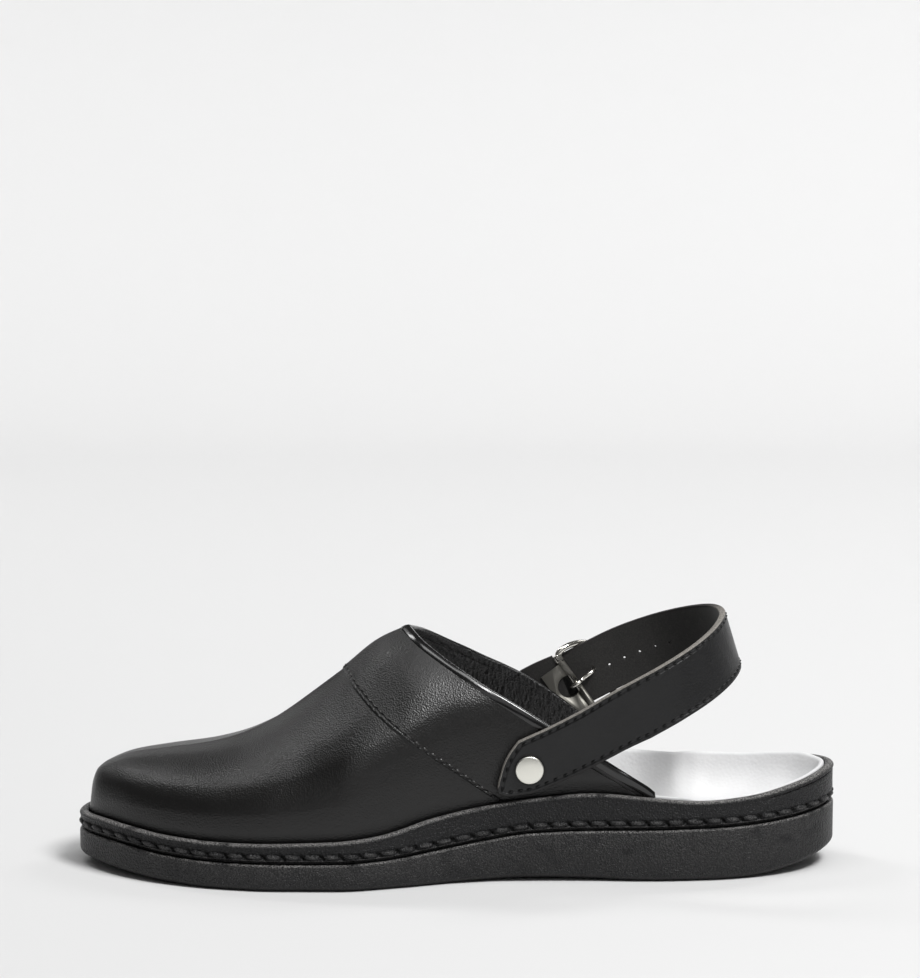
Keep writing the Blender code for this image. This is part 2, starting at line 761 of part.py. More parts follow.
def loop_point(row, outer_reach, inner_reach):
    """(x, y, z) of a row of the strap's table, from the strap's distances from the middle on both
    sides."""
    x = TOE_X + row.along * SOLE_LENGTH
    reach = inner_reach if row.out > 0 else outer_reach
    return np.array([x, row.out * reach, row.up * STRAP_HEIGHT])


def unit(vector):
    return vector / np.linalg.norm(vector, axis=-1, keepdims=True)


def widthwise(tangent, y):
    """The way a strap's width points, up and leaning forwards, square to the strap's run."""
    lean = math.radians(STRAP_LEAN)
    y = np.asarray(y, float)
    tilt = -STRAP_TILT * y / (HEEL_WIDTH / 2)
    up = np.stack([np.full_like(y, -math.sin(lean)), tilt, np.full_like(y, math.cos(lean))], axis=-1)
    return unit(up - (up * tangent).sum(-1, keepdims=True) * tangent)


def curve_through(points, step):
    """Smooth curve through points, resampled in even steps. Returns the samples and their distances
    along."""
    points = np.asarray(points)
    chord = np.concatenate([[0], np.cumsum(np.linalg.norm(np.diff(points, axis=0), axis=1))])
    fine = np.linspace(0, chord[-1], 400)
    tangent = np.gradient(points, chord, axis=0)
    i = np.clip(np.searchsorted(chord, fine, side="right") - 1, 0, len(chord) - 2)
    span = (chord[i + 1] - chord[i])[:, None]
    s = (fine - chord[i])[:, None] / span
    curve = (
        points[i] * (1 + 2 * s) * (1 - s) ** 2
        + points[i + 1] * s * s * (3 - 2 * s)
        + span * tangent[i] * s * (1 - s) ** 2
        - span * tangent[i + 1] * s * s * (1 - s)
    )
    length = np.concatenate([[0], np.cumsum(np.linalg.norm(np.diff(curve, axis=0), axis=1))])
    count = max(2, round(length[-1] / step))
    places = np.linspace(0, length[-1], count + 1)
    return np.stack([np.interp(places, length, curve[:, k]) for k in range(3)], axis=-1), places


class Band:
    """A strap's run: middle points, the directions along, up and out at each, and the distance from
    its start. facing is 1 for a run that goes back on the outer side of the foot, and -1 on the
    inner side."""

    def __init__(self, line, places, facing=1):
        self.line = line
        self.places = places
        self.facing = facing
        self.along = unit(np.gradient(line, places, axis=0))
        self.up = widthwise(self.along, line[:, 1])
        self.out = np.cross(self.along, self.up) * facing

    def at(self, place):
        """Middle point and the directions up and out at a distance from the start."""
        def pick(rows):
            return np.array([np.interp(place, self.places, rows[:, k]) for k in range(3)])
        return pick(self.line), unit(pick(self.up)), unit(pick(self.out))


def lay_on(tree, band, thickness, above, below, landed):
    """Moves a band in or out so that it rests on the upper and its piping. landed is 1 where it must
    touch, and 0 where it may also stand clear."""
    moved = np.zeros(len(band.line))
    for i, middle in enumerate(band.line):
        needs = []
        for across in np.linspace(-below[i], above[i], 7):
            gap = clearance(tree, middle + band.up[i] * across - band.out[i] * thickness / 2, band.out[i])
            if gap is not None:
                needs.append(STRAP_STANDOFF - gap)
        if needs:
            moved[i] = max(max(needs), 0) if max(needs) > 0 else max(needs) * landed[i]
    for _ in range(4):
        moved[1:-1] = np.maximum(moved[1:-1], (moved[:-2] + moved[2:]) / 2)
    return Band(band.line + band.out * moved[:, None], band.places, band.facing)


def ribbon(name, band, above, below, thickness, material):
    """A strap as a solid: a thick band with eased edges, between two widths at each place."""
    half, edge = thickness / 2, STRAP_EDGE
    corners = []
    for i in range(len(band.line)):
        top, foot = above[i], -below[i]
        section = (
            (top - edge, half), (top, half - edge), (top, edge - half), (top - edge, -half),
            (foot + edge, -half), (foot, edge - half), (foot, half - edge), (foot + edge, half),
        )
        corners += [band.line[i] + band.up[i] * across + band.out[i] * out for across, out in section]
    around = len(section)
    last = (len(band.line) - 1) * around
    faces = [tuple(range(around)), tuple(last + k for k in range(around))]
    for i in range(len(band.line) - 1):
        for k in range(around):
            a, b = i * around + k, i * around + (k + 1) % around
            faces.append((a, b, b + around, a + around))
    return mesh_object(name, corners, faces, material)


def end_widths(places, rivet_place, width):
    """Widths above and below the middle line near a riveted end."""
    behind = (places - rivet_place) / width
    rows = [row.behind for row in STRAP_END]
    reach = np.clip(behind, rows[0], rows[-1])
    above = smooth(reach, rows, [row.above for row in STRAP_END]) * width
    below = smooth(reach, rows, [row.below for row in STRAP_END]) * width
    return above, below


def cylinder_cutter(name, centre, axis, radius, length, sides):
    """A cutter cylinder through a centre."""
    work = bmesh.new()
    bmesh.ops.create_cone(work, segments=sides, radius1=radius, radius2=radius, depth=length, cap_ends=True)
    turn = Vector(axis).to_track_quat("Z", "Y").to_matrix().to_4x4()
    bmesh.ops.transform(work, matrix=Matrix.Translation(Vector(centre)) @ turn, verts=work.verts)
    mesh = bpy.data.meshes.new(name)
    work.to_mesh(mesh)
    work.free()
    return cutter_object(name, mesh)


def make_rivet(name, centre, axis, stack, material):
    """Turned rivet: domed head, shank and inner washer. centre is on the strap's outer face, axis
    points out and stack is the thickness that the rivet holds, with its gaps."""
    profile_points = [(row.out * RIVET_HEAD_RADIUS, GAP + row.up * RIVET_HEAD_HEIGHT) for row in RIVET_DOME]
    profile_points += [
        (RIVET_SHANK_RADIUS, GAP), (RIVET_SHANK_RADIUS, -stack), (RIVET_WASHER_RADIUS, -stack),
        (RIVET_WASHER_RADIUS, -stack - RIVET_WASHER_THICKNESS), (0, -stack - RIVET_WASHER_THICKNESS),
    ]
    mesh = bpy.data.meshes.new(name)
    edges = [(i, i + 1) for i in range(len(profile_points) - 1)]
    mesh.from_pydata([(r, 0, z) for r, z in profile_points], edges, [])
    rivet = add_object(name, mesh, material)
    screw = rivet.modifiers.new("turn", "SCREW")
    screw.steps = RIVET_STEPS
    screw.render_steps = RIVET_STEPS
    screw.use_merge_vertices = True
    screw.merge_threshold = 0.00001
    turn = Vector(axis).to_track_quat("Z", "Y").to_matrix().to_4x4()
    rivet.matrix_world = Matrix.Translation(Vector(centre)) @ turn


def rivet_stack(tree, face, up, out):
    """Depth from a strap's outer face to the rivet's washer, so that its whole rim clears the upper's
    lining."""
    gaps = []
    along = np.cross(up, out)
    for turn in np.arange(0, 2 * math.pi, math.pi / 4):
        rim = (up * math.sin(turn) + along * math.cos(turn)) * RIVET_WASHER_RADIUS
        gap = clearance(tree, face + rim, out)
        if gap is not None:
            gaps.append(gap)
    return max(gaps) + UPPER_WALL + GAP


def rivet_through(tree, upper, strap, name, face, up, out):
    """Sets a rivet through a strap and the upper, and cuts both for its shank."""
    stack = rivet_stack(tree, face, up, out)
    make_rivet(name, face, out, stack, "nickel")
    reach = 2 * (stack + BORE_SPARE)
    bore = cylinder_cutter(name + "_bore", face, out, RIVET_SHANK_RADIUS + GAP, reach, BORE_SIDES)
    cut(strap, bore)
    cut(upper, bore)


Bar = namedtuple("Bar", "centre run up out lift")


def make_bar(tree):
    """Buckle's bar: its centre outside the upper's inner face, the direction back along the strap, up
    its width and out from the foot, and how far the heel strap's middle passes outside it."""
    inner = face_point(tree, INNER_RIVET_ALONG, INNER_RIVET_UP, 1)
    centre = np.array([TOE_X + BAR_ALONG * SOLE_LENGTH, inner[1] + BAR_STANDOFF, BAR_UP])
    run = unit(centre - (inner + np.array([0, GAP + TAB_THICKNESS / 2, 0])))
    up = widthwise(-run, centre[1])
    lift = FRAME_WIRE + GAP + PLATE_THICKNESS + GAP + STRAP_THICKNESS / 2
    return Bar(centre, run, up, np.cross(-run, up), lift)


def make_heel_strap(tree, upper, bar):
    """Heel strap from the outer rivet round the heel and over the buckle's bar, with its holes and its
    rivet."""
    outer = face_point(tree, OUTER_RIVET_ALONG, OUTER_RIVET_UP, -1)
    outer[1] -= GAP + STRAP_THICKNESS / 2
    loop = [loop_point(row, -outer[1], bar.centre[1] + bar.lift) for row in STRAP_LOOP]
    tip_reach = -STRAP_END[0].behind * STRAP_WIDTH
    tip = outer - unit(loop[0] - outer) * tip_reach
    over_buckle = (1.15 * FRAME_LENGTH, 0.5 * FRAME_LENGTH, 0, -FREE_END)
    passing = [place_local(bar, (place, 0, bar.lift)) for place in over_buckle]
    line, places = curve_through([tip, outer] + loop + passing, STRAP_STEP)
    band = Band(line, places)
    above, below = end_widths(places, tip_reach, STRAP_WIDTH)
    from_tip = np.clip((places[-1] - places) / STRAP_WIDTH, 0, FREE_TIP[-1].behind)
    tip_shares = smooth(from_tip, [row.behind for row in FREE_TIP], [row.above for row in FREE_TIP])
    narrow = tip_shares * STRAP_WIDTH
    above, below = np.minimum(above, narrow), np.minimum(below, narrow)
    landed = 1 - ease(places, (LANDING, 2 * LANDING))
    laid = lay_on(tree, band, STRAP_THICKNESS, above, below, landed)
    on_outer = places < places[-1] / 2
    band = Band(np.where(on_outer[:, None], laid.line, band.line), places)
    strap = ribbon("heel_strap", band, above, below, STRAP_THICKNESS, "leather")
    middle, strap_up, strap_out = band.at(tip_reach)
    face = middle + strap_out * STRAP_THICKNESS / 2
    rivet_through(tree, upper, strap, "rivet_outer", face, strap_up, strap_out)
    for i in range(SPARE_HOLES + 1):
        middle, _, hole_out = band.at(places[-1] - FREE_END - PRONG_HOLE - i * HOLE_PITCH)
        name = f"strap_hole_{i}"
        cut(strap, cylinder_cutter(name, middle, hole_out, HOLE_RADIUS, 3 * STRAP_THICKNESS, HOLE_SIDES))


def make_buckle_strap(tree, upper, bar):
    """Short strap that holds the buckle, riveted to the upper's inner side."""
    start = -TAB_REACH + STRAP_END[0].behind * TAB_WIDTH
    knots = np.linspace(start, -FRAME_WIRE - 3 * GAP - 2 * PRONG_WIRE, TAB_STATIONS)
    band = Band(np.array([bar.centre + bar.run * place for place in knots]), knots - start, facing=-1)
    above, below = end_widths(knots, -TAB_REACH, TAB_WIDTH)
    landed = 1 - ease(knots, (-TAB_REACH, -FREE_END))
    band = lay_on(tree, band, TAB_THICKNESS, above, below, landed)
    strap = ribbon("buckle_strap", band, above, below, TAB_THICKNESS, "leather")
    middle, up, out = band.at(-TAB_REACH - start)
    face = middle + out * TAB_THICKNESS / 2
    rivet_through(tree, upper, strap, "rivet_inner", face, up, out)


def place_local(bar, local):
    """Point at (back along the strap, up its width, out from the foot) from the buckle's bar."""
    return bar.centre + bar.run * local[0] + bar.up * local[1] + bar.out * local[2]


def make_frame(bar):
    """Buckle's wire frame: a rounded rectangle whose front is the bar, bent out so that it passes over
    the strap. Returns how far out its far end stands."""
    half = STRAP_WIDTH / 2 + FRAME_PLAY + FRAME_WIRE
    far = bar.lift + STRAP_THICKNESS / 2 + FRAME_PLAY + FRAME_WIRE

    def corner(back, up, start):
        turns = np.radians(np.linspace(start, start + 90, 5))
        return [(back + FRAME_CORNER * math.cos(t), up + FRAME_CORNER * math.sin(t)) for t in turns]

    flat = corner(FRAME_LENGTH - FRAME_CORNER, half - FRAME_CORNER, 0)
    flat += [(FRAME_LENGTH * share, half) for share in (0.65, 0.5, 0.35)]
    flat += corner(FRAME_CORNER, half - FRAME_CORNER, 90)
    flat += [(a, -b) for a, b in reversed(flat)]
    rise = (FRAME_WIRE, 0.9 * FRAME_LENGTH)
    points = [place_local(bar, (a, b, far * float(ease(a, rise)))) for a, b in flat]
    tube("buckle_frame", points, FRAME_WIRE, "nickel", cyclic=True)
    return far


def make_prong(bar, far):
    """Prong: an eye round the bar, then a pin that goes through the strap's hole and over the frame's
    far end."""
    eye = FRAME_WIRE + GAP + PRONG_WIRE
    face = bar.lift + STRAP_THICKNESS / 2
    over = far + FRAME_WIRE + GAP
    left = FRAME_LENGTH - PRONG_HOLE
    path = [(eye * math.cos(t), eye * math.sin(t)) for t in np.radians(np.linspace(*PRONG_EYE, 10))]
    path += [(row.back * PRONG_HOLE, row.out * bar.lift) for row in PRONG_RISE]
    path += [(PRONG_HOLE + row.back * left, face + row.out * (over - face)) for row in PRONG_REACH]
    tube("buckle_prong", [place_local(bar, (a, 0, b)) for a, b in path], PRONG_WIRE, "nickel")


def make_plate(bar):
    """Clamp plate: a sheet bent round the bar, with a leg on each side of the buckle strap, and cut
    for the prong."""
    inside = FRAME_WIRE + GAP
    outside = inside + PLATE_THICKNESS
    leg = TAB_THICKNESS / 2 + GAP
    turns = np.radians(np.linspace(-90, 90, 9))
    outer_path = [(outside * math.cos(t), outside * math.sin(t)) for t in turns]
    inner_path = [(inside * math.cos(t), inside * math.sin(t)) for t in turns[::-1]]
    path = [(-PLATE_LENGTH, -leg - PLATE_THICKNESS)] + outer_path + [(-PLATE_LENGTH, leg + PLATE_THICKNESS)]
    path += [(-PLATE_LENGTH, leg)] + inner_path + [(-PLATE_LENGTH, -leg)]
    half = PLATE_WIDTH / 2
    points = [place_local(bar, (a, side * half, b)) for side in (-1, 1) for a, b in path]
    around = len(path)
    faces = [(k, (k + 1) % around, (k + 1) % around + around, k + around) for k in range(around)]
    # both ends are strips between the outer and the inner path, so that no face has a dent
    for shift in (0, around):
        for k in range(around // 2 - 1):
            faces.append(tuple(shift + j for j in (k, k + 1, around - 2 - k, around - 1 - k)))
    plate = mesh_object("buckle_plate", points, faces, "nickel")
    centre = place_local(bar, (-PRONG_SLOT, 0, 0))
    cut(plate, cylinder_cutter("prong_slot", centre, bar.out, PRONG_SLOT, CUT_THROUGH, BORE_SIDES))
    cut(plate, box_cutter("prong_gap", bar, -PRONG_SLOT, outside + PLATE_THICKNESS, PRONG_GAP, CUT_THROUGH))


def box_cutter(name, bar, start, end, width, depth):
    """A cutter box on the bar's axes, from start to end along the strap and centred across and out."""
    work = bmesh.new()
    box = bmesh.ops.create_cube(work, size=1)["verts"]
    bmesh.ops.scale(work, vec=(end - start, width, depth), verts=box)
    turn = Matrix((-bar.run, bar.up, bar.out)).transposed().to_4x4()
    centre = Vector(place_local(bar, ((start + end) / 2, 0, 0)))
    bmesh.ops.transform(work, matrix=Matrix.Translation(centre) @ turn, verts=work.verts)
    mesh = bpy.data.meshes.new(name)
    work.to_mesh(mesh)
    work.free()
    return cutter_object(name, mesh)


def fresh_collection(name):
    collection = bpy.data.collections.new(name)
    bpy.context.scene.collection.children.link(collection)
    return collection


def main():
    make_outsole()
    make_midsole()
    make_insole()
    upper = make_upper()
    make_piping()
    tree = upper_tree()
    bar = make_bar(tree)
    make_buckle_strap(tree, upper, bar)
    make_heel_strap(tree, upper, bar)
    make_prong(bar, make_frame(bar))
    make_plate(bar)


for old in list(bpy.data.objects):
    bpy.data.objects.remove(old)
CLOG = fresh_collection("chef_clog")
CUTTERS = fresh_collection("cutters")
CUTTERS.hide_render = True
MATERIALS = {name: make_material(name) for name in COLOURS}
main()
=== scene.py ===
# %% [markdown]
# # A black leather chef clog
# A chef clog is a closed-toe leather mule on a thick moulded sole, held by a strap behind the heel. Each step
# below makes one piece again as a fine surface, in the same place and size, and gives it the finish of the
# real one. Lengths are in metres, the toe points along -X, and the outer side of the foot is at -Y.

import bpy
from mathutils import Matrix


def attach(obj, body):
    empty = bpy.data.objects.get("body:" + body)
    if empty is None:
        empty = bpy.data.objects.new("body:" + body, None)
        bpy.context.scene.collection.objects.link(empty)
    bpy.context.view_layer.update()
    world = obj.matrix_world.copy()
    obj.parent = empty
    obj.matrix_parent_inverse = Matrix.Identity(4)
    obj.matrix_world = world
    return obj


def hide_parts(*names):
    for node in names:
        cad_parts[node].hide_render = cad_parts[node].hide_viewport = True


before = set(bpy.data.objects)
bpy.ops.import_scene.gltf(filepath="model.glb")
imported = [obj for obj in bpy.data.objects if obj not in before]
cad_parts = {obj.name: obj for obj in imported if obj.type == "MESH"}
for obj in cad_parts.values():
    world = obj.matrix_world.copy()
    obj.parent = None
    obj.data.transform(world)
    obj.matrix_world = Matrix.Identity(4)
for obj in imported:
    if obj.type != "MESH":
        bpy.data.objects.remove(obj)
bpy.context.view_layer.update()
print("CAD nodes:", ", ".join(sorted(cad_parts)))

# %% Tools and the main sizes
import math

import bmesh
import bpy
import numpy as np
from mathutils import Matrix

MM = 0.001
LENGTH = 285 * MM
TOE_X = -0.8 * LENGTH
BALL, WAIST, HEEL = 102 * MM, 71 * MM, 72 * MM
SOLE_HEIGHT = 30 * MM
RIDGE_HEIGHT = 90 * MM
RIM_WIDTH = 3.4 * MM
WALL = 2.0 * MM
FIT = 0.45 * MM
TRAY_UP = 2.9 * MM
print(f"sole {LENGTH / MM:.0f} mm long, {BALL / MM:.0f} mm wide at the ball")

# %% [markdown]
# A shoe has no straight lines, so its sizes come as short tables of places along the foot, and a smooth curve
# runs through each column. A plain cubic spline swings past its points and makes bumps on a sole. The monotone
# cubic used here keeps between its points, so a flat stays flat.


# %% A smooth curve through a table's column
def smooth(at, knots, values):
    """Cubic pieces between knots. The slope at a knot is the harmonic mean of its two neighbours' slopes, and
    zero where they differ in sign, so the curve never passes its own points."""
    at, knots, values = (np.asarray(v, float) for v in (at, knots, values))
    step = np.diff(knots)
    slope = np.diff(values) / step
    rising = slope[:-1] * slope[1:] > 0
    mean = 2 * slope[:-1] * slope[1:] / np.where(rising, slope[:-1] + slope[1:], 1)
    tangent = np.concatenate(([slope[0]], np.where(rising, mean, 0), [slope[-1]]))
    i = np.clip(np.searchsorted(knots, at, side="right") - 1, 0, len(knots) - 2)
    s = (at - knots[i]) / step[i]
    return (
        values[i] * (1 + 2 * s) * (1 - s) ** 2
        + values[i + 1] * s * s * (3 - 2 * s)
        + step[i] * tangent[i] * s * (1 - s) ** 2
        - step[i] * tangent[i + 1] * s * s * (1 - s)
    )


def ease(value, low, high):
    """0 below low, 1 above high, and 3 s^2 - 2 s^3 between them."""
    s = np.clip((value - low) / (high - low), 0, 1)
    return s * s * (3 - 2 * s)


def unit(v):
    """Each vector divided by its length."""
    return v / np.linalg.norm(v, axis=-1, keepdims=True)


def bump(distance, width):
    """A bell of height 1: exp(-(distance / width)^2)."""
    return np.exp(-((distance / width) ** 2))


print("half way between 0 and 1 the ease gives", float(ease(0.5, 0, 1)))

# %% [markdown]
# Seen from above, the sole is one closed line. It is drawn by an angle that is 0 at the toe and pi at the heel,
# with the place along the foot as (1 - cos(angle)) / 2, because then both ends come out round. Columns are the
# place along the foot, and the half widths on the outer and the inner side.

# %% The sole's outline
OUTLINE = np.array([
    (0.00, 0.015 * BALL, -0.015 * BALL),
    (0.03, 0.185 * BALL, 0.198 * BALL),
    (0.07, 0.297 * BALL, 0.316 * BALL),
    (0.12, 0.390 * BALL, 0.400 * BALL),
    (0.19, 0.470 * BALL, 0.462 * BALL),
    (0.27, 0.510 * BALL, 0.486 * BALL),
    (0.35, 0.512 * BALL, 0.475 * BALL),
    (0.43, 0.455 * BALL, 0.432 * BALL),
    (0.50, 0.556 * WAIST, 0.545 * WAIST),
    (0.57, 0.510 * WAIST, 0.492 * WAIST),
    (0.65, 0.505 * WAIST, 0.470 * WAIST),
    (0.75, 0.510 * HEEL, 0.484 * HEEL),
    (0.83, 0.487 * HEEL, 0.478 * HEEL),
    (0.90, 0.412 * HEEL, 0.410 * HEEL),
    (0.96, 0.284 * HEEL, 0.284 * HEEL),
    (1.00, 0.000, 0.000),
])


def angle_of(along):
    """Angle whose (1 - cos) / 2 is the place along the foot."""
    return np.arccos(np.clip(1 - 2 * np.asarray(along, float), -1, 1))


def along_of(angle):
    """Place along the foot, (1 - cos(angle)) / 2."""
    return (1 - np.cos(angle)) / 2


def edge(angle, side):
    """(x, y) of the sole's edge: x from the place along the foot, y from the table's half width for that side.
    Angles past an end run on up the other side."""
    angle = np.asarray(angle, float)
    flip = (angle < 0) | (angle > math.pi)
    angle = np.where(angle > math.pi, 2 * math.pi - angle, np.abs(angle))
    side = np.where(flip, -side, side)
    knots = angle_of(OUTLINE[:, 0])
    half = np.where(side > 0, smooth(angle, knots, OUTLINE[:, 2]), smooth(angle, knots, OUTLINE[:, 1]))
    return np.stack([TOE_X + along_of(angle) * LENGTH, side * half], axis=-1)


def inset_edge(angle, side, inset):
    """The edge moved inwards by inset along its own normal."""
    tangent = unit(edge(angle + 0.01, side) - edge(angle - 0.01, side))
    side = np.broadcast_to(side, np.shape(angle))[..., None]
    inward = np.stack([-tangent[..., 1], tangent[..., 0]], axis=-1) * -side
    return edge(angle, side[..., 0]) + inward * np.asarray(inset, float)[..., None]


def path_length(points):
    """Distance from the first of a row of points to each one, along straight pieces."""
    return np.concatenate([[0], np.cumsum(np.linalg.norm(np.diff(points, axis=0), axis=1))])


walk = np.linspace(0, 2 * math.pi, 6001)
walk_angle = np.where(walk > math.pi, 2 * math.pi - walk, walk)
walk_side = np.where(walk > math.pi, 1, -1)
walk_length = path_length(edge(walk_angle, walk_side))
ROUND = walk_length[-1]
print(f"the way round the sole is {ROUND / MM:.0f} mm")


# %% [markdown]
# The rows of a sole's side are then rings at even steps of real length, so that a pattern on them, such as the
# moulded stitches, keeps its size all the way round.


# %% Even steps round the sole
def ring_steps(count):
    """Angles, sides and lengths of count points at even steps of real length, from the toe round the outer side."""
    length = np.arange(count) * ROUND / count
    turn = np.interp(length, walk_length, walk)
    return np.where(turn > math.pi, 2 * math.pi - turn, turn), np.where(turn > math.pi, 1, -1), length


angle, side, length = ring_steps(8)
print("eight even steps, x in mm:", np.round(edge(angle, side)[:, 0] / MM))

# %% [markdown]
# Heights follow the same rule. The tread lifts a little at the toe and the arch. The parting is the line where
# the two layers of the sole meet, and the rim is the top edge that the foot's bed lies in. It stands higher on
# the inner side, at the arch. The dish says where the layers sink to make a seat for the heel.

# %% Heights along the sole
PROFILE = np.array([
    # along, under, parting, outer rim, inner rim (shares of the sole's height), dish
    (0.00, 0.110, 0.425, 0.660, 0.660, 0.0),
    (0.03, 0.090, 0.425, 0.660, 0.660, 0.0),
    (0.07, 0.060, 0.407, 0.640, 0.645, 0.0),
    (0.12, 0.025, 0.362, 0.600, 0.610, 0.0),
    (0.20, 0.000, 0.335, 0.575, 0.590, 0.0),
    (0.32, 0.000, 0.333, 0.597, 0.630, 0.0),
    (0.40, 0.000, 0.350, 0.655, 0.730, 0.1),
    (0.47, 0.000, 0.420, 0.820, 0.900, 0.3),
    (0.54, 0.020, 0.520, 0.945, 1.060, 0.5),
    (0.60, 0.040, 0.600, 1.030, 1.160, 0.7),
    (0.68, 0.025, 0.630, 1.090, 1.190, 0.9),
    (0.74, 0.000, 0.637, 1.050, 1.150, 1.0),
    (0.82, 0.000, 0.650, 0.990, 1.110, 1.0),
    (0.88, 0.010, 0.665, 1.020, 1.120, 1.0),
    (0.94, 0.090, 0.710, 1.120, 1.180, 1.0),
    (1.00, 0.240, 0.785, 1.260, 1.260, 1.0),
])


def height(column, along):
    """Height from one column of the table at a place along the foot."""
    scale = 1 if column == 5 else SOLE_HEIGHT
    return smooth(along, PROFILE[:, 0], PROFILE[:, column]) * scale


def rim(angle, side):
    """Height of the rim, from the outer or the inner column."""
    along = along_of(angle)
    return np.where(np.asarray(side) > 0, height(4, along), height(3, along))


def dish(angle, inset):
    """How far a layer sinks under the heel: the dish's share there, times 5 mm at 19 mm in from the edge."""
    deep = np.interp(inset, np.array((4.5, 9, 14, 19)) * MM, (0, 0.35, 0.75, 1))
    return height(5, along_of(angle)) * 5 * MM * deep


print(f"rim at the heel's back {float(rim(math.pi, -1)) / MM:.1f} mm above the floor")

# %% [markdown]
# A finished surface is a grid of points, one row per ring. The grid goes into the mesh in one call, and its UV
# map holds real lengths in metres, so grain and stitches have their true scale on every piece.


# %% From a grid of points to a mesh
def grid_faces(rows, columns, wrap):
    """Corner numbers of the quads between neighbours of a rows by columns grid, wrapping round if asked."""
    i = np.arange(rows - 1)[:, None]
    j = np.arange(columns if wrap else columns - 1)[None, :]
    k = (j + 1) % columns
    a, b, c, d = i * columns + j, i * columns + k, (i + 1) * columns + k, (i + 1) * columns + j
    return np.stack([a, b, c, d], axis=-1).reshape(-1, 4)


def add_mesh(name, points, faces, uv=None, angle=40):
    """A mesh object from points, a list of arrays of faces with 3 or 4 corners each, and one UV pair per point."""
    name = name.replace(" ", "_")
    mesh = bpy.data.meshes.new(name)
    corners = np.concatenate([f.reshape(-1) for f in faces])
    totals = np.concatenate([np.full(len(f), f.shape[1]) for f in faces])
    mesh.vertices.add(len(points))
    mesh.vertices.foreach_set("co", np.asarray(points, np.float32).ravel())
    mesh.loops.add(len(corners))
    mesh.loops.foreach_set("vertex_index", corners.astype(np.int32))
    mesh.polygons.add(len(totals))
    mesh.polygons.foreach_set("loop_start", (np.cumsum(totals) - totals).astype(np.int32))
    mesh.polygons.foreach_set("loop_total", totals.astype(np.int32))
    if uv is not None:
        layer = mesh.uv_layers.new(name="metres")
        layer.data.foreach_set("uv", np.asarray(uv, np.float32)[corners].ravel())
    mesh.update(calc_edges=True)
    mesh.validate()
    mesh.shade_smooth()
    mesh.set_sharp_from_angle(angle=math.radians(angle))
    piece = bpy.data.objects.new(name, mesh)
    bpy.context.scene.collection.objects.link(piece)
    return piece


def finish(piece, material, nodes=()):
    """Gives a piece its material, sets it on the frame, and lets it stand for the CAD nodes it shows."""
    if not piece.data.materials:
        piece.data.materials.append(material)
    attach(piece, "root")
    if nodes:
        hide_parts(*nodes)
    print(f"{piece.name}: {len(piece.data.polygons)} faces")
    return piece


def along_rows(grid):
    """Distance from the first row along each column of a grid of points."""
    steps = np.linalg.norm(np.diff(grid, axis=0), axis=2)
    return np.concatenate([np.zeros((1, grid.shape[1])), np.cumsum(steps, axis=0)])


def ring_solid(name, insets, heights, count, displace=None):
    """A closed solid of level rings. Row r is the sole's edge moved in by insets[r] at heights[r]; the first and
    the last ring are closed by straight strips from the outer side to the inner side."""
    angle, side, length = ring_steps(count)
    plan = [inset_edge(angle, side, i) for i in insets]
    grid = np.array([np.column_stack([p, np.broadcast_to(h, count)]) for p, h in zip(plan, heights)])
    if displace is not None:
        grid = displace(grid, angle, side, length)
    v = along_rows(grid)
    uv = np.stack([np.broadcast_to(length, v.shape), v], axis=-1)
    k = np.arange(count // 2)
    strip = np.stack([k, k + 1, count - 1 - k, (count - k) % count], axis=-1)
    caps = [strip[1:-1], strip[[0]][:, :3], strip[[-1]][:, [0, 1, 3]]]
    last = (len(grid) - 1) * count
    faces = [grid_faces(len(grid), count, True)] + [c[:, ::-1] for c in caps] + [c + last for c in caps]
    return add_mesh(name, grid.reshape(-1, 3), faces, uv.reshape(-1, 2))


print("grid tools ready")

# %% [markdown]
# Materials here are worked out by the renderer from short formulas, without pictures. Each one is a chain of
# nodes: a pattern in the piece's own coordinates, a ramp that shapes it, and a bump or a roughness that it
# drives. The helpers below keep such a chain to one line per node.


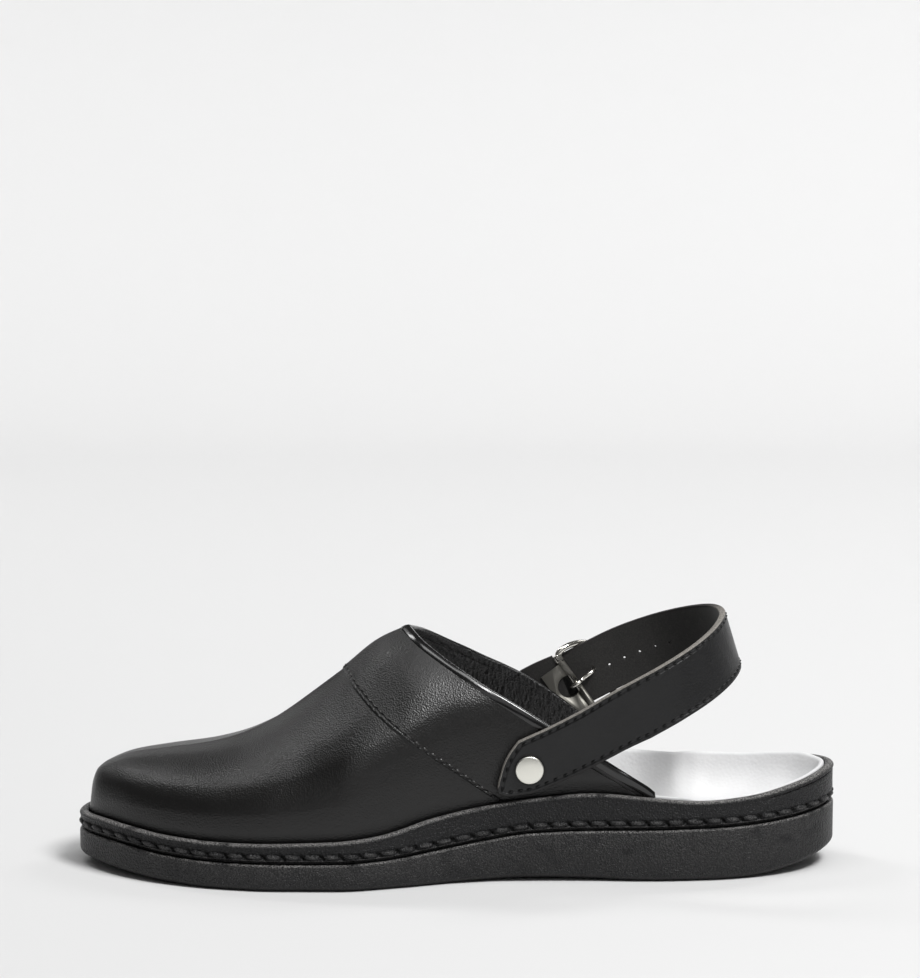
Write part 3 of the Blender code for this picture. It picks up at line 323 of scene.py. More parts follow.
# %% Helpers for materials
class Look:
    """A material with one Principled shader, and short ways to add pattern nodes before it."""

    def __init__(self, name, colour, roughness, **values):
        self.material = bpy.data.materials.new(name)
        self.material.use_nodes = True
        self.tree = self.material.node_tree
        self.shader = self.tree.nodes["Principled BSDF"]
        self.shader.inputs["Base Color"].default_value = (*colour, 1)
        self.shader.inputs["Roughness"].default_value = roughness
        for key, value in values.items():
            self.shader.inputs[key.replace("_", " ")].default_value = value

    def node(self, kind, links=None, **settings):
        """One node with its settings, and its inputs joined to other outputs or set to numbers."""
        made = self.tree.nodes.new(kind)
        for key, value in settings.items():
            setattr(made, key, value)
        for key, value in (links or {}).items():
            if isinstance(value, bpy.types.NodeSocket):
                self.tree.links.new(value, made.inputs[key])
            else:
                made.inputs[key].default_value = value
        return made

    def math(self, operation, a, b=0.0, clamp=False):
        """One sum of two values or outputs."""
        return self.node("ShaderNodeMath", {0: a, 1: b}, operation=operation, use_clamp=clamp).outputs[0]

    def span(self, value, low, high, first=0.0, last=1.0):
        """A smooth step of a value from low to high, giving first to last."""
        links = {"Value": value, "From Min": low, "From Max": high, "To Min": first, "To Max": last}
        return self.node("ShaderNodeMapRange", links, interpolation_type="SMOOTHSTEP").outputs["Result"]

    def place(self):
        """The piece's own coordinates, in metres."""
        return self.node("ShaderNodeTexCoord").outputs["Object"]

    def attribute(self, name):
        """A number kept at each point of the mesh."""
        return self.node("ShaderNodeAttribute", attribute_name=name).outputs["Fac"]

    def cells(self, size, feature="F1", stretch=None, smoothness=None):
        """Distance pattern of scattered cells of about this size in metres."""
        vector = self.place()
        if stretch is not None:
            links = {0: vector, 1: stretch}
            vector = self.node("ShaderNodeVectorMath", links, operation="MULTIPLY").outputs[0]
        links = {"Vector": vector, "Scale": 1 / size}
        if smoothness is not None:
            links["Smoothness"] = smoothness
        return self.node("ShaderNodeTexVoronoi", links, feature=feature).outputs["Distance"]

    def noise(self, size, detail=2.0, vector=None):
        """Soft cloud pattern of about this size in metres, around 0.5."""
        links = {"Vector": vector or self.place(), "Scale": 1 / size, "Detail": detail}
        return self.node("ShaderNodeTexNoise", links).outputs["Fac"]

    def blend(self, share, first, second):
        """A colour between two, by a share of 0 to 1. Each is three numbers or another node's output."""
        first, second = (c if isinstance(c, bpy.types.NodeSocket) else (*c, 1) for c in (first, second))
        return self.node("ShaderNodeMix", {0: share, 6: first, 7: second}, data_type="RGBA").outputs[2]

    def drive(self, socket, output):
        """Joins an output to one of the shader's own inputs."""
        self.tree.links.new(output, self.shader.inputs[socket])

    def raise_by(self, height, distance, strength=1.0, under=None):
        """Bump of a height pattern over a distance in metres, on top of another bump."""
        links = {"Height": height, "Distance": distance, "Strength": strength}
        if under is not None:
            links["Normal"] = under
        return self.node("ShaderNodeBump", links).outputs["Normal"]


print("material helpers ready")

# %% [markdown]
# Moulded sole rubber is black, a little rough, and shows a fine pebble from the mould's blasted face. Handling
# rubs the raised edges a dusty grey, in specks. The specks follow a number kept at each point of the mesh, which
# is 1 on the edges that get rubbed, so they stay on the true edges; on the crowns of the moulded stitches the same
# specks are also a painted highlight. A second number, deep, paints near-black shade into recesses and onto hidden
# faces.

# %% Sole rubber
rubber = Look("sole rubber", (0.0060, 0.0059, 0.0066), 0.5, Specular_IOR_Level=0.4)
pebble = rubber.cells(0.8 * MM, "SMOOTH_F1", smoothness=0.35)
speck = rubber.noise(0.36 * MM, 2.0)
cloud = rubber.noise(9 * MM, 3.0)
wear_and_highlight = rubber.attribute("wear_and_highlight")
deep = rubber.attribute("deep")
specks = rubber.math("MULTIPLY", rubber.span(speck, 0.44, 0.58), rubber.span(cloud, 0.26, 0.48))
# Grey specks: rub marks on the edges, and a painted highlight on the stitch crowns.
worn_and_highlit = rubber.math("MULTIPLY", specks, wear_and_highlight, clamp=True)
black = rubber.blend(rubber.span(speck, 0.5, 0.72), (0.0036, 0.0035, 0.0042), (0.0085, 0.0082, 0.0092))
scuffed_and_highlit = rubber.blend(worn_and_highlit, black, (0.27, 0.262, 0.255))
# Painted shade: where deep is 1 the rubber goes near black.
rubber.drive("Base Color", rubber.blend(deep, scuffed_and_highlit, (0.0008, 0.0008, 0.0008)))
rubber.drive("Roughness", rubber.span(speck, 0.3, 0.7, 0.30, 0.55))
fine = rubber.raise_by(speck, 0.40 * MM, 0.8)
rubber.drive("Normal", rubber.raise_by(pebble, 0.45 * MM, 0.9, fine))
print("sole rubber has", len(rubber.tree.nodes), "nodes")

# %% [markdown]
# The outsole is one slab of rubber. Its tread is flat with a rounded lower edge, its side is upright, and its
# top sinks under the heel. The grooves of the tread are cut with one hidden box per groove, the way a mould's
# ribs would form them, and stand half a step to each side of the heel's middle.


# %% Outsole
def keep_numbers(piece, name, values):
    """One number per point of the mesh, for its material."""
    layer = piece.data.attributes.new(name, "FLOAT", "POINT")
    layer.data.foreach_set("value", np.asarray(values, np.float32).ravel())


CUBE_CORNERS = np.array([(x, y, z) for z in (-1, 1) for x, y in ((-1, -1), (1, -1), (1, 1), (-1, 1))]) / 2
CUBE_FACES = np.array([(3, 2, 1, 0), (4, 5, 6, 7), (0, 1, 5, 4), (1, 2, 6, 5), (2, 3, 7, 6), (3, 0, 4, 7)])


def as_cutter(piece):
    """Hides a piece from the render, because it only cuts others."""
    piece.hide_render = True
    piece.display_type = "WIRE"
    return piece


def boxes(name, centres, sizes):
    """A cutter of boxes, from their centres and sizes."""
    points = np.array(centres)[:, None] + CUBE_CORNERS * np.array(sizes)[:, None]
    faces = CUBE_FACES[None] + 8 * np.arange(len(centres))[:, None, None]
    return as_cutter(add_mesh(name, points.reshape(-1, 3), [faces.reshape(-1, 4)]))


def cut_out(piece, cutter):
    """Takes the cutter's shape out of a piece."""
    boolean = piece.modifiers.new(cutter.name, "BOOLEAN")
    boolean.operation, boolean.solver, boolean.object = "DIFFERENCE", "EXACT", cutter


COUNT = 960
angle, side, length = ring_steps(COUNT)
along = along_of(angle)
under, parting = height(1, along), height(2, along)
EDGE = 2.4 * MM
quarter = np.radians(np.linspace(0, 90, 7))
insets = list(EDGE * (1 - np.sin(quarter)))
heights = [under + EDGE * (1 - math.cos(q)) for q in quarter]
top_round = 1.0 * MM
for q in np.radians(np.linspace(0, 90, 6)):
    insets.append(top_round * (1 - math.cos(q)))
    heights.append(parting - top_round * (1 - math.sin(q)))
for inset in np.array((2.5, 4.5, 7, 9, 11.5, 14, 16.5, 19)) * MM:
    insets.append(inset)
    heights.append(parting - dish(angle, inset))
outsole = ring_solid("outsole rubber", insets, heights, COUNT)
rows = len(outsole.data.vertices) // COUNT
wear_and_highlight = np.zeros((rows, COUNT))
wear_and_highlight[7:12] = np.array((0.15, 0.5, 0.8, 0.8, 0.4))[:, None]
wear_and_highlight[4:7] = 0.06
keep_numbers(outsole, "wear_and_highlight", wear_and_highlight)
# Painted shade: the dished top, hidden under the footbed, is made near black.
deep = np.zeros((rows, COUNT))
deep[12:] = 1.0
keep_numbers(outsole, "deep", deep)
pitch = 9 * MM
places = (np.arange(-31, 31) + 0.5) * pitch
share = (places - TOE_X) / LENGTH
places = places[((share > 0.13) & (share < 0.42)) | ((share > 0.735) & (share < 0.915))]
groove = angle_of((places - TOE_X) / LENGTH)
outer_end, inner_end = edge(groove, -1)[:, 1] + 9 * MM, edge(groove, 1)[:, 1] - 9 * MM
floor_of = height(1, along_of(groove))
centres = np.stack([places, (outer_end + inner_end) / 2, floor_of], axis=-1)
wide, deep = np.full_like(places, 3 * MM), np.full_like(places, 3.2 * MM)
sizes = np.stack([wide, inner_end - outer_end, deep], axis=-1)
cut_out(outsole, boxes("tread cutter", centres, sizes))
finish(outsole, rubber.material, ["outsole"])
print(len(places), "tread grooves")

# %% [markdown]
# Above the outsole runs a groove, then a recessed band with moulded stitches, then the beaded rim. The
# stitches are not thread: the mould gives them, as slanted ovals with a pit between each two. The band's rows
# are therefore pushed in and out by a height worked out from the length round the sole: an oval's height is
# that of an ellipse, the square root of 1 - a^2 - b^2, so its top is round and its foot is sharp. The groove,
# the pits and the faces inside the rim are painted near black as shade, and the ovals' crowns get grey specks
# that are partly rub marks and partly a painted highlight.

# %% Midsole with its moulded stitches
STITCH_PITCH = 7.13 * MM
STITCH_LONG, STITCH_HIGH = 6.1 * MM, 2.0 * MM
STITCH_UP = 2.85 * MM
BEAD = 2.2 * MM
COUNT = 2400
angle, side, length = ring_steps(COUNT)
along = along_of(angle)
parting, top = height(2, along), rim(angle, side)
low_insets = np.array((19, 16.5, 14, 11.5, 9, 6.7, 4.5)) * MM
insets = list(low_insets)
heights = [parting + 0.3 * MM - dish(angle, i) for i in low_insets]
band_low, band_high = (0.30, 0.55, 0.80, 1.05, 1.25, 1.45, 1.62, 1.75), (4.1, 4.25, 4.45, 4.9)
band_up = np.concatenate([band_low, np.arange(1.88, 4.0, 0.13), band_high])
band_shape = np.array([
    # up from the parting, in from the sole's edge
    (0.55, 1.6), (0.80, 1.5), (1.05, 1.0), (1.25, 0.6), (1.45, 0.45), (1.75, 0.5), (2.0, 0.68), (3.6, 0.60),
    (4.1, 0.35), (4.6, 0.25),
])
band_in = np.interp(band_up, band_shape[:, 0], band_shape[:, 1])
band = np.stack([band_in, band_up], axis=-1) * MM
insets += list(band[:, 0])
heights += [parting + up for up in band[:, 1]]
BAND_ROWS = slice(len(low_insets) + 4, len(insets))
crease = top - BEAD
wall_foot = parting + 4.9 * MM
for s in (0.35, 0.7):
    insets.append(0.3 * MM)
    heights.append(wall_foot + (np.maximum(crease - 0.9 * MM, wall_foot + 0.05 * MM) - wall_foot) * s)
bead_rows = np.array((
    (0.30, -0.80), (0.36, -0.45), (0.62, -0.16), (0.78, 0.0), (0.66, 0.12), (0.36, 0.28), (0.16, 0.48),
    (0.04, 0.74), (0.0, 1.02), (0.06, 1.32), (0.22, 1.60), (0.46, 1.84), (0.78, 2.04), (1.15, 2.16), (1.6, 2.2),
    (2.1, 2.2), (2.55, 2.16), (2.95, 2.04), (3.22, 1.88), (3.36, 1.66), (3.4, 1.4),
)) * MM
crease_share = ease(along, 0.88, 0.95)
for k, (inset, up) in enumerate(bead_rows):
    insets.append(inset if up > 0.3 * MM else 0.20 * MM + (inset - 0.20 * MM) * crease_share)
    heights.append(np.maximum(crease + up, wall_foot + (0.06 + 0.02 * k) * MM))
high_insets = np.array((3.4, 4.5, 6.7, 9, 11.5, 14, 16.5, 19)) * MM
insets += list(high_insets)
heights += [parting + TRAY_UP - dish(angle, i) for i in high_insets]


def stitch_shape(length, up):
    """Ovals and pits at lengths round the sole and heights in the band. An oval is the square root of
    1 - a^2 - b^2, with a along the seam, slanted by b, and b up the band. A pit is a bell half way between two."""
    slot = length / ROUND * round(ROUND / STITCH_PITCH)
    b = up[:, None] - STITCH_UP
    a = ((slot - np.floor(slot) - 0.5) * STITCH_PITCH)[None] + 0.8 * b
    oval = np.sqrt(np.clip(1 - (2 * a / STITCH_LONG) ** 2 - (2 * b / STITCH_HIGH) ** 2, 0, 1))
    return oval, bump(np.abs(a) - STITCH_PITCH / 2, 0.62 * MM) * bump(b, 1.05 * MM)


def mould_stitches(grid, angle, side, length):
    """Pushes the band's points out along the sole's normal for the ovals and in for the pits."""
    oval, pit = stitch_shape(length, band[4:, 1])
    tangent = unit(edge(angle + 0.01, side) - edge(angle - 0.01, side))
    outward = np.stack([tangent[:, 1], -tangent[:, 0]], axis=-1) * -side[:, None]
    grid[BAND_ROWS, :, :2] += (0.95 * MM * oval - 0.9 * MM * pit)[:, :, None] * outward[None]
    return grid


midsole = ring_solid("midsole rubber", insets, heights, COUNT, displace=mould_stitches)
wear_and_highlight = np.zeros((len(insets), COUNT))
first_bead = BAND_ROWS.stop + 2
ovals, pits = stitch_shape(length, band[4:, 1])
wear_and_highlight[first_bead + 8:first_bead + 16] = ease(np.arange(8), 0, 4)[:, None]
wear_and_highlight[first_bead + 16:first_bead + 18] = 0.5
wear_and_highlight[BAND_ROWS.start:BAND_ROWS.start + 3] = 0.25
# Painted highlight: grey specks on the stitch crowns, over the rub marks.
wear_and_highlight[BAND_ROWS] += 0.3 * ovals ** 4
keep_numbers(midsole, "wear_and_highlight", wear_and_highlight)
# Painted shade: near black under the band, in the groove above the outsole, in the pits and inside the rim.
deep = np.zeros((len(insets), COUNT))
deep[:BAND_ROWS.start] = 1.0
deep[BAND_ROWS] = np.clip(pits * 1.8, 0, 1)
deep[first_bead + 18:] = 0.9
keep_numbers(midsole, "deep", deep)
finish(midsole, rubber.material, ["midsole"])
print(round(ROUND / STITCH_PITCH), "moulded stitches")

# %% [markdown]
# The footbed is soft white leather over a shaped board. Under the upper it is a flat sheet, and round the open
# heel its edge climbs to the rim and shows its cut side. Its wall is drawn by a few heights, as shares of the
# way from the seat up to the edge, with a smooth curve between them, so the hollow for the heel comes out soft.

# %% Footbed
footbed_leather = Look("footbed leather", (0.80, 0.80, 0.81), 0.58, Subsurface_Weight=0.08)
footbed_leather.shader.inputs["Subsurface Radius"].default_value = (0.002, 0.002, 0.002)
nap = footbed_leather.noise(0.5 * MM, 3.0)
pores = footbed_leather.cells(1.3 * MM, "SMOOTH_F1", smoothness=0.8)
shade = footbed_leather.noise(32 * MM, 2.0)
cloudy = footbed_leather.span(shade, 0.3, 0.72)
footbed_leather.drive("Base Color", footbed_leather.blend(cloudy, (0.76, 0.76, 0.765), (0.84, 0.84, 0.84)))
footbed_leather.drive("Roughness", footbed_leather.span(nap, 0.3, 0.7, 0.48, 0.66))
soft = footbed_leather.raise_by(shade, 1.2 * MM, 0.35)
napped = footbed_leather.raise_by(nap, 0.05 * MM, 0.4, soft)
footbed_leather.drive("Normal", footbed_leather.raise_by(pores, 0.18 * MM, 0.5, napped))

COUNT = 720
angle, side, length = ring_steps(COUNT)
along = along_of(angle)
beside_wall = RIM_WIDTH + FIT + WALL + FIT
tray = height(2, along) + TRAY_UP
start = beside_wall + (RIM_WIDTH + 0.3 * MM - beside_wall) * ease(along, 0.790, 0.815)
low_edge = tray - dish(angle, start) + 3.9 * MM
proud = 1.1 * MM * (side > 0) * ease(along, 0.54, 0.60) * ease(along, 1.0, 0.97)
top = low_edge + (rim(angle, side) + proud - low_edge) * ease(along, 0.52, 0.74)
seat = tray - dish(angle, 19 * MM) + 2.9 * MM
insets = [i * MM for i in (19, 14, 9)] + [start, start, start + 0.10 * MM, start + 0.35 * MM]
heights = [tray + 0.3 * MM - dish(angle, i) for i in insets[:4]]
heights += [top - 0.7 * MM, top - 0.25 * MM, top]
wall_in = np.array((0.8, 1.6, 2.3, 4.0, 7.0, 11.0, 16.0)) * MM
wall_up = np.array((1.0, 0.97, 0.86, 0.58, 0.30, 0.10, 0.0))
steps = np.array((
    0.8, 1.1, 1.4, 1.65, 1.9, 2.2, 2.6, 3.1, 3.7, 4.5, 5.5, 6.5, 7.5, 8.5, 9.5, 11, 12.5, 14, 16,
)) * MM
folds = 0.35 * MM * np.sin(length / (7 * MM)) + 0.25 * MM * np.sin(length / (3.3 * MM) + 1.3)
for step, share in zip(steps, smooth(steps, wall_in, wall_up)):
    insets.append(start + step)
    folded = float(ease(step, 2 * MM, 5 * MM) * ease(step, 16 * MM, 8 * MM))
    heights.append(seat + (top - seat) * share + folds * folded)
footbed = ring_solid("footbed", insets, heights, COUNT)
finish(footbed, footbed_leather.material, ["insole"])

# %% [markdown]
# The upper is one wall of leather pulled over a last. It is drawn as a row of sections that start upright at the
# toe and lean back more and more, up to the collar. A section is a curve from the rim to the ridge, given for
# the toe and for the collar, and blended between them. The same function gives the outer face and the lining,
# because it takes the depth under the outer face.

# %% Upper sections
RIDGE = np.array([
    (0.000, 0.220), (0.006, 0.343), (0.014, 0.390), (0.028, 0.418), (0.060, 0.452), (0.110, 0.475), (0.165, 0.498),
    (0.205, 0.530), (0.250, 0.592), (0.300, 0.695), (0.350, 0.812), (0.400, 0.935), (0.440, 0.993),
])
SECTIONS = np.array([
    # at, where it meets the sole, where it meets the ridge
    (0.00, 0.000, 0.0000),
    (0.10, 0.020, 0.0160),
    (0.25, 0.120, 0.0900),
    (0.40, 0.250, 0.1800),
    (0.58, 0.410, 0.2750),
    (0.74, 0.557, 0.3510),
    (0.87, 0.657, 0.3950),
    (1.00, 0.748, 0.4315),
])
TURNS = np.array([
    # toe up, toe out, collar up, collar out
    (0.00, 1.000, 0.00, 1.000),
    (0.16, 1.010, 0.15, 1.015),
    (0.34, 1.000, 0.30, 1.020),
    (0.52, 0.955, 0.45, 1.005),
    (0.69, 0.860, 0.60, 0.950),
    (0.82, 0.710, 0.73, 0.800),
    (0.92, 0.500, 0.84, 0.580),
    (0.98, 0.250, 0.94, 0.300),
    (1.00, 0.000, 1.00, 0.000),
])
SEAM = 0.74
SEAM_RISE = 0.0013
PANEL_STEP = 0.7 * MM
INNER_AHEAD = 0.028
INNER_SWELL = 0.018


def section_ends(at):
    """Where a section meets the sole and the ridge, as shares of the length."""
    return smooth(at, SECTIONS[:, 0], SECTIONS[:, 1]), smooth(at, SECTIONS[:, 0], SECTIONS[:, 2])


def upper_point(at, turn, side, depth):
    """(x, y, z) on the upper: x and y from the sole's edge moved in, with y pulled to the middle by the
    section's out share, and z between the rim and the ridge by its up share. A turn below 0 is the skirt, which
    runs from the rim down to the midsole's floor."""
    base, ridge = section_ends(at)
    inner_collar = ease(at, 0.85, 1.0) * (np.asarray(side) > 0)
    base = base - INNER_AHEAD * inner_collar
    inside = np.clip(turn, 0, 1)
    turns = np.linspace(0, 1, len(TURNS))
    toe_up, toe_out, collar_up, collar_out = (smooth(inside, turns, TURNS[:, k]) for k in range(4))
    part = ease(at, 0.15, 0.75)
    up = toe_up + (collar_up - toe_up) * part
    out = toe_out + (collar_out - toe_out) * part
    depth = depth - PANEL_STEP * ease(at, SEAM - SEAM_RISE, SEAM + SEAM_RISE) * ease(up, 0.02, 0.12)
    swell = INNER_SWELL * bump(up - 0.45, 0.25) * inner_collar
    angle = angle_of(base + (ridge - base) * up + swell)
    inset = RIM_WIDTH + FIT + depth
    outer, inner = inset_edge(angle, -1, inset), inset_edge(angle, 1, inset)
    own = np.where(side[..., None] > 0, inner, outer)
    middle = (outer[..., 1] + inner[..., 1]) / 2
    base_angle = angle_of(base)
    low = rim(base_angle, side)
    high = smooth(ridge, RIDGE[:, 0], RIDGE[:, 1]) * RIDGE_HEIGHT
    z = low + (high - low - depth * ease(at, 0.0, 0.10) * 1.15) * up
    foot = height(2, along_of(base_angle)) + TRAY_UP - dish(base_angle, inset) + FIT
    z = z + (foot - z) * np.clip(-turn, 0, 1)
    return np.stack([own[..., 0], middle + (own[..., 1] - middle) * out, z], axis=-1)


def across_upper(at, turns, depth):
    """Points from the outer rim over the ridge to the inner rim, for arrays of at and of turns from -1 to 1."""
    turns, at = np.broadcast_arrays(turns, at)
    own = np.where(turns < 0, -1, 1)
    return upper_point(at, 1 - np.abs(turns), own, depth)


top_middle = upper_point(np.array([1.0]), np.array([1.0]), np.array([1]), np.array([0.0]))[0]
print("collar's top at x, z in mm:", round(top_middle[0] / MM, 1), round(top_middle[2] / MM, 1))

# %% [markdown]
# Leather over a last is nearly smooth, with soft dents where the foot bends, and the lining behind it lies in
# small folds. They are placed as lines from one place on the upper to another, each with a width and a
# depth. A point's relief is the sum of bells of its distance to each line.


# %% Folds of the leather
def folds_on(points, lines):
    """Sum over the lines of depth times a bell of the distance to the line, fading at the line's ends."""
    total = np.zeros(points.shape[:-1])
    for start, end, width, depth in lines:
        start, end = np.array(start) * MM, np.array(end) * MM
        way = end - start
        s = ((points - start) @ way) / (way @ way)
        near = start + np.clip(s, 0, 1)[..., None] * way
        total += depth * MM * bump(np.linalg.norm(points - near, axis=-1), width * MM) * bump(s - 0.5, 0.45)
    return total


VAMP_FOLDS = (
    ((-150, -48, 34), (-128, -38, 50), 7, -0.35),
    ((-140, -47, 30), (-112, -38, 52), 6, -0.28),
    ((-122, -45, 30), (-104, -42, 46), 7, -0.30),
    ((-172, -30, 42), (-160, 0, 48), 9, -0.25),
    ((-150, -22, 55), (-142, 20, 57), 9, -0.25),
    ((-96, -38, 44), (-78, -36, 50), 7, -0.22),
    ((-146, 45, 34), (-124, 36, 52), 7, -0.32),
    ((-130, 44, 30), (-106, 40, 48), 7, -0.28),
)
LINING_FOLDS = (
    ((-92, 22, 80), (-62, 33, 52), 1.8, 0.70),
    ((-96, 26, 74), (-70, 34, 48), 1.6, 0.65),
    ((-90, 18, 84), (-58, 33, 60), 1.5, -0.70),
    ((-100, 28, 68), (-72, 34, 42), 1.8, -0.60),
    ((-88, 28, 74), (-66, 34, 62), 1.3, 0.60),
    ((-84, 31, 64), (-56, 34, 46), 1.5, 0.65),
    ((-104, 24, 72), (-92, 32, 56), 2.0, 0.55),
    ((-80, 32, 54), (-52, 34, 38), 1.7, -0.60),
    ((-76, 26, 78), (-60, 33, 66), 1.4, 0.55),
    ((-70, 32, 60), (-46, 34, 44), 1.2, 0.60),
    ((-64, 32, 62), (-50, 34, 50), 1.1, -0.50),
)
print(len(VAMP_FOLDS), "soft dents and", len(LINING_FOLDS), "folds in the lining")

# %% [markdown]
# Full-grain leather with a satin finish: near black, with a fine pebble that shows where the light grazes it. The
# seam is a thin line where the quarter lies over the vamp, with a row of needle holes beside it; the line and the
# holes are painted near black as shade, and the holes and the stitch row are also dented by a bump. Both follow
# two numbers kept at each point, the distance from the seam and the distance along it, so the holes stay in line.
# A groove in front of the piping's lower end and a strip where the upper goes down into the rim are painted near
# black as shade too. The lining is thinner and glossier, and crinkled in long cells that follow its folds.

# %% Upper leather and lining
leather = Look("satin leather", (0.0046, 0.0043, 0.0041), 0.36, Specular_IOR_Level=0.5)
grain = leather.cells(0.62 * MM, "SMOOTH_F1", smoothness=0.35)
fine = leather.noise(0.35 * MM, 2.0)
broad = leather.noise(26 * MM, 2.0)
leather.drive("Roughness", leather.span(broad, 0.25, 0.75, 0.34, 0.38))
behind = leather.attribute("seam_behind")
run = leather.attribute("seam_run")
SEAM_PITCH, SEAM_BEHIND = 3.8 * MM, 1.0 * MM
step = leather.math("SUBTRACT", leather.math("PINGPONG", run, SEAM_PITCH / 2), SEAM_PITCH / 2)
row = leather.math("SUBTRACT", behind, SEAM_BEHIND)
hole = leather.math("ADD", leather.math("MULTIPLY", row, row), leather.math("MULTIPLY", step, step))
hole = leather.span(hole, (0.55 * MM) ** 2, (0.95 * MM) ** 2, 1.0, 0.0)
groove = leather.span(leather.math("ABSOLUTE", row), 0.0, 0.9 * MM, 1.0, 0.0)
off_cut = leather.math("ABSOLUTE", leather.math("ADD", behind, 0.25 * MM))
cut_line = leather.span(off_cut, 0.1 * MM, 0.45 * MM, 1.0, 0.0)
collar = leather.attribute("collar_before")
off_groove = leather.math("ABSOLUTE", leather.math("SUBTRACT", collar, 4.2 * MM))
collar_groove = leather.span(off_groove, 0.05 * MM, 0.6 * MM, 1.0, 0.0)
# Painted shade: the needle holes, the seam's cut line, the collar groove and the strip by the rim go near black.
dark = leather.math("MAXIMUM", hole, cut_line)
dark = leather.math("MAXIMUM", dark, leather.math("MULTIPLY", collar_groove, 0.6), clamp=True)
dark = leather.math("MAXIMUM", dark, leather.attribute("painted_rim_shade"))
leather.drive("Base Color", leather.blend(dark, (0.0046, 0.0043, 0.0041), (0.0003, 0.0003, 0.0003)))
sunk = leather.math("ADD", leather.math("MULTIPLY", hole, -1.0), leather.math("MULTIPLY", groove, -0.35))
sunk = leather.math("ADD", sunk, leather.math("MULTIPLY", collar_groove, -0.8))
normal = leather.raise_by(fine, 0.05 * MM, 0.6)
normal = leather.raise_by(grain, 0.17 * MM, 0.7, normal)
leather.drive("Normal", leather.raise_by(sunk, 0.6 * MM, 0.9, normal))

lining = Look("lining leather", (0.0050, 0.0046, 0.0046), 0.38, Specular_IOR_Level=0.6)
pores = lining.cells(0.65 * MM, "SMOOTH_F1", smoothness=0.3)
crinkle = lining.cells(1.9 * MM, "SMOOTH_F1", (1.5, 1.0, 0.6), smoothness=0.3)
lining.drive("Roughness", lining.span(lining.noise(9 * MM), 0.3, 0.7, 0.30, 0.46))
lining.drive("Normal", lining.raise_by(crinkle, 0.7 * MM, 0.8, lining.raise_by(pores, 0.26 * MM, 1.0)))
print("leather and lining ready")

# %% [markdown]
# Both sheets of the wall share one grid and are joined along their edges, so the wall is a closed solid, as
# thick as the real leather. The grid has more rows at the seam, where the quarter steps up onto the vamp.


# %% Upper
def close_up(piece):
    """Joins doubled points and turns all faces outwards."""
    work = bmesh.new()
    work.from_mesh(piece.data)
    bmesh.ops.remove_doubles(work, verts=work.verts, dist=2e-7)
    bmesh.ops.dissolve_degenerate(work, edges=work.edges, dist=1e-7)
    bmesh.ops.recalc_face_normals(work, faces=work.faces)
    work.to_mesh(piece.data)
    work.free()
    piece.data.update()


even = np.linspace(0, 1, 172) ** 1.12
close = SEAM + np.array((-6, -4, -2.6, -1.6, -0.9, -0.4, 0, 0.4, 0.9, 1.6, 2.6, 4, 6)) * 0.001
stations = np.sort(np.concatenate([even[np.abs(even - SEAM) > 0.008], close]))
half = 1 - np.linspace(0, 1, 96) ** 1.15
turns = np.concatenate([[-2.0, -1.5], -half[::1][:-1], [0.0], half[:-1][::-1], [1.5, 2.0]])
turns = np.unique(np.round(turns, 9))
at, across = np.meshgrid(stations, turns, indexing="ij")
outside = across_upper(at, across, np.zeros_like(at))
relief = folds_on(outside, VAMP_FOLDS) * ease(np.abs(across), 1.0, 0.9)
outside = across_upper(at, across, -relief)
inside = across_upper(at, across, np.full_like(at, WALL))
shift = folds_on(inside, LINING_FOLDS) * ease(np.abs(across), 1.0, 0.85) * ease(at, 1.0, 0.985)
inside = across_upper(at, across, WALL + shift - 0.3 * MM * ease(shift, 0.2 * MM, 0.5 * MM))
rows, columns = at.shape
sheet = grid_faces(rows, columns, False)
move = rows * columns
k = np.arange(rows - 1) * columns
j = np.arange(columns - 1) + (rows - 1) * columns
first = np.arange(columns - 1)
borders = [
    np.stack([k, k + columns, k + columns + move, k + move], axis=-1),
    np.stack([k, k + columns, k + columns + move, k + move], axis=-1) + columns - 1,
    np.stack([j, j + 1, j + 1 + move, j + move], axis=-1),
]
reach = along_rows(outside)
seam_row = int(np.argmin(np.abs(stations - SEAM)))
seam_run = path_length(outside[seam_row])
seam_behind = reach - reach[seam_row]
# Distance to the collar's edge, for the groove near the piping's lower end that is painted dark as shade.
low_on_collar = ease(np.abs(across), 0.66, 0.76)
collar_before = reach[-1] - reach + (1 - low_on_collar) * 20 * MM
inner_values = np.full_like(reach, 50 * MM)
seam_run_all = np.broadcast_to(seam_run, reach.shape)
points = np.concatenate([outside.reshape(-1, 3), inside.reshape(-1, 3)])
uv = np.stack([seam_run_all, reach], axis=-1).reshape(-1, 2)
upper = add_mesh("upper leather", points, [sheet, sheet + move] + borders, np.concatenate([uv, uv]))
keep_numbers(upper, "seam_behind", np.concatenate([seam_behind, inner_values]))
keep_numbers(upper, "seam_run", np.concatenate([seam_run_all, inner_values]))
keep_numbers(upper, "collar_before", np.concatenate([collar_before, inner_values]))
# A strip of painted shade where the upper goes down into the rim and on the skirt below it.
keep_numbers(upper, "painted_rim_shade", np.concatenate([ease(np.abs(across), 0.965, 0.99), inner_values * 0]))
upper.data.materials.append(leather.material)
upper.data.materials.append(lining.material)
index = np.zeros(len(upper.data.polygons), np.int32)
index[len(sheet):2 * len(sheet)] = 1
upper.data.polygons.foreach_set("material_index", index)
close_up(upper)
finish(upper, leather.material, ["upper"])

# %% [markdown]
# The collar's raw edge is bound with a glossy piping: a flat tape of patent leather on the outer face, a thin
# cord on top of the edge, and the lining turned up behind it. One closed section holds all three, with a furrow
# where the cord meets the lining, and it is carried along a line that stands just off the collar's edge.


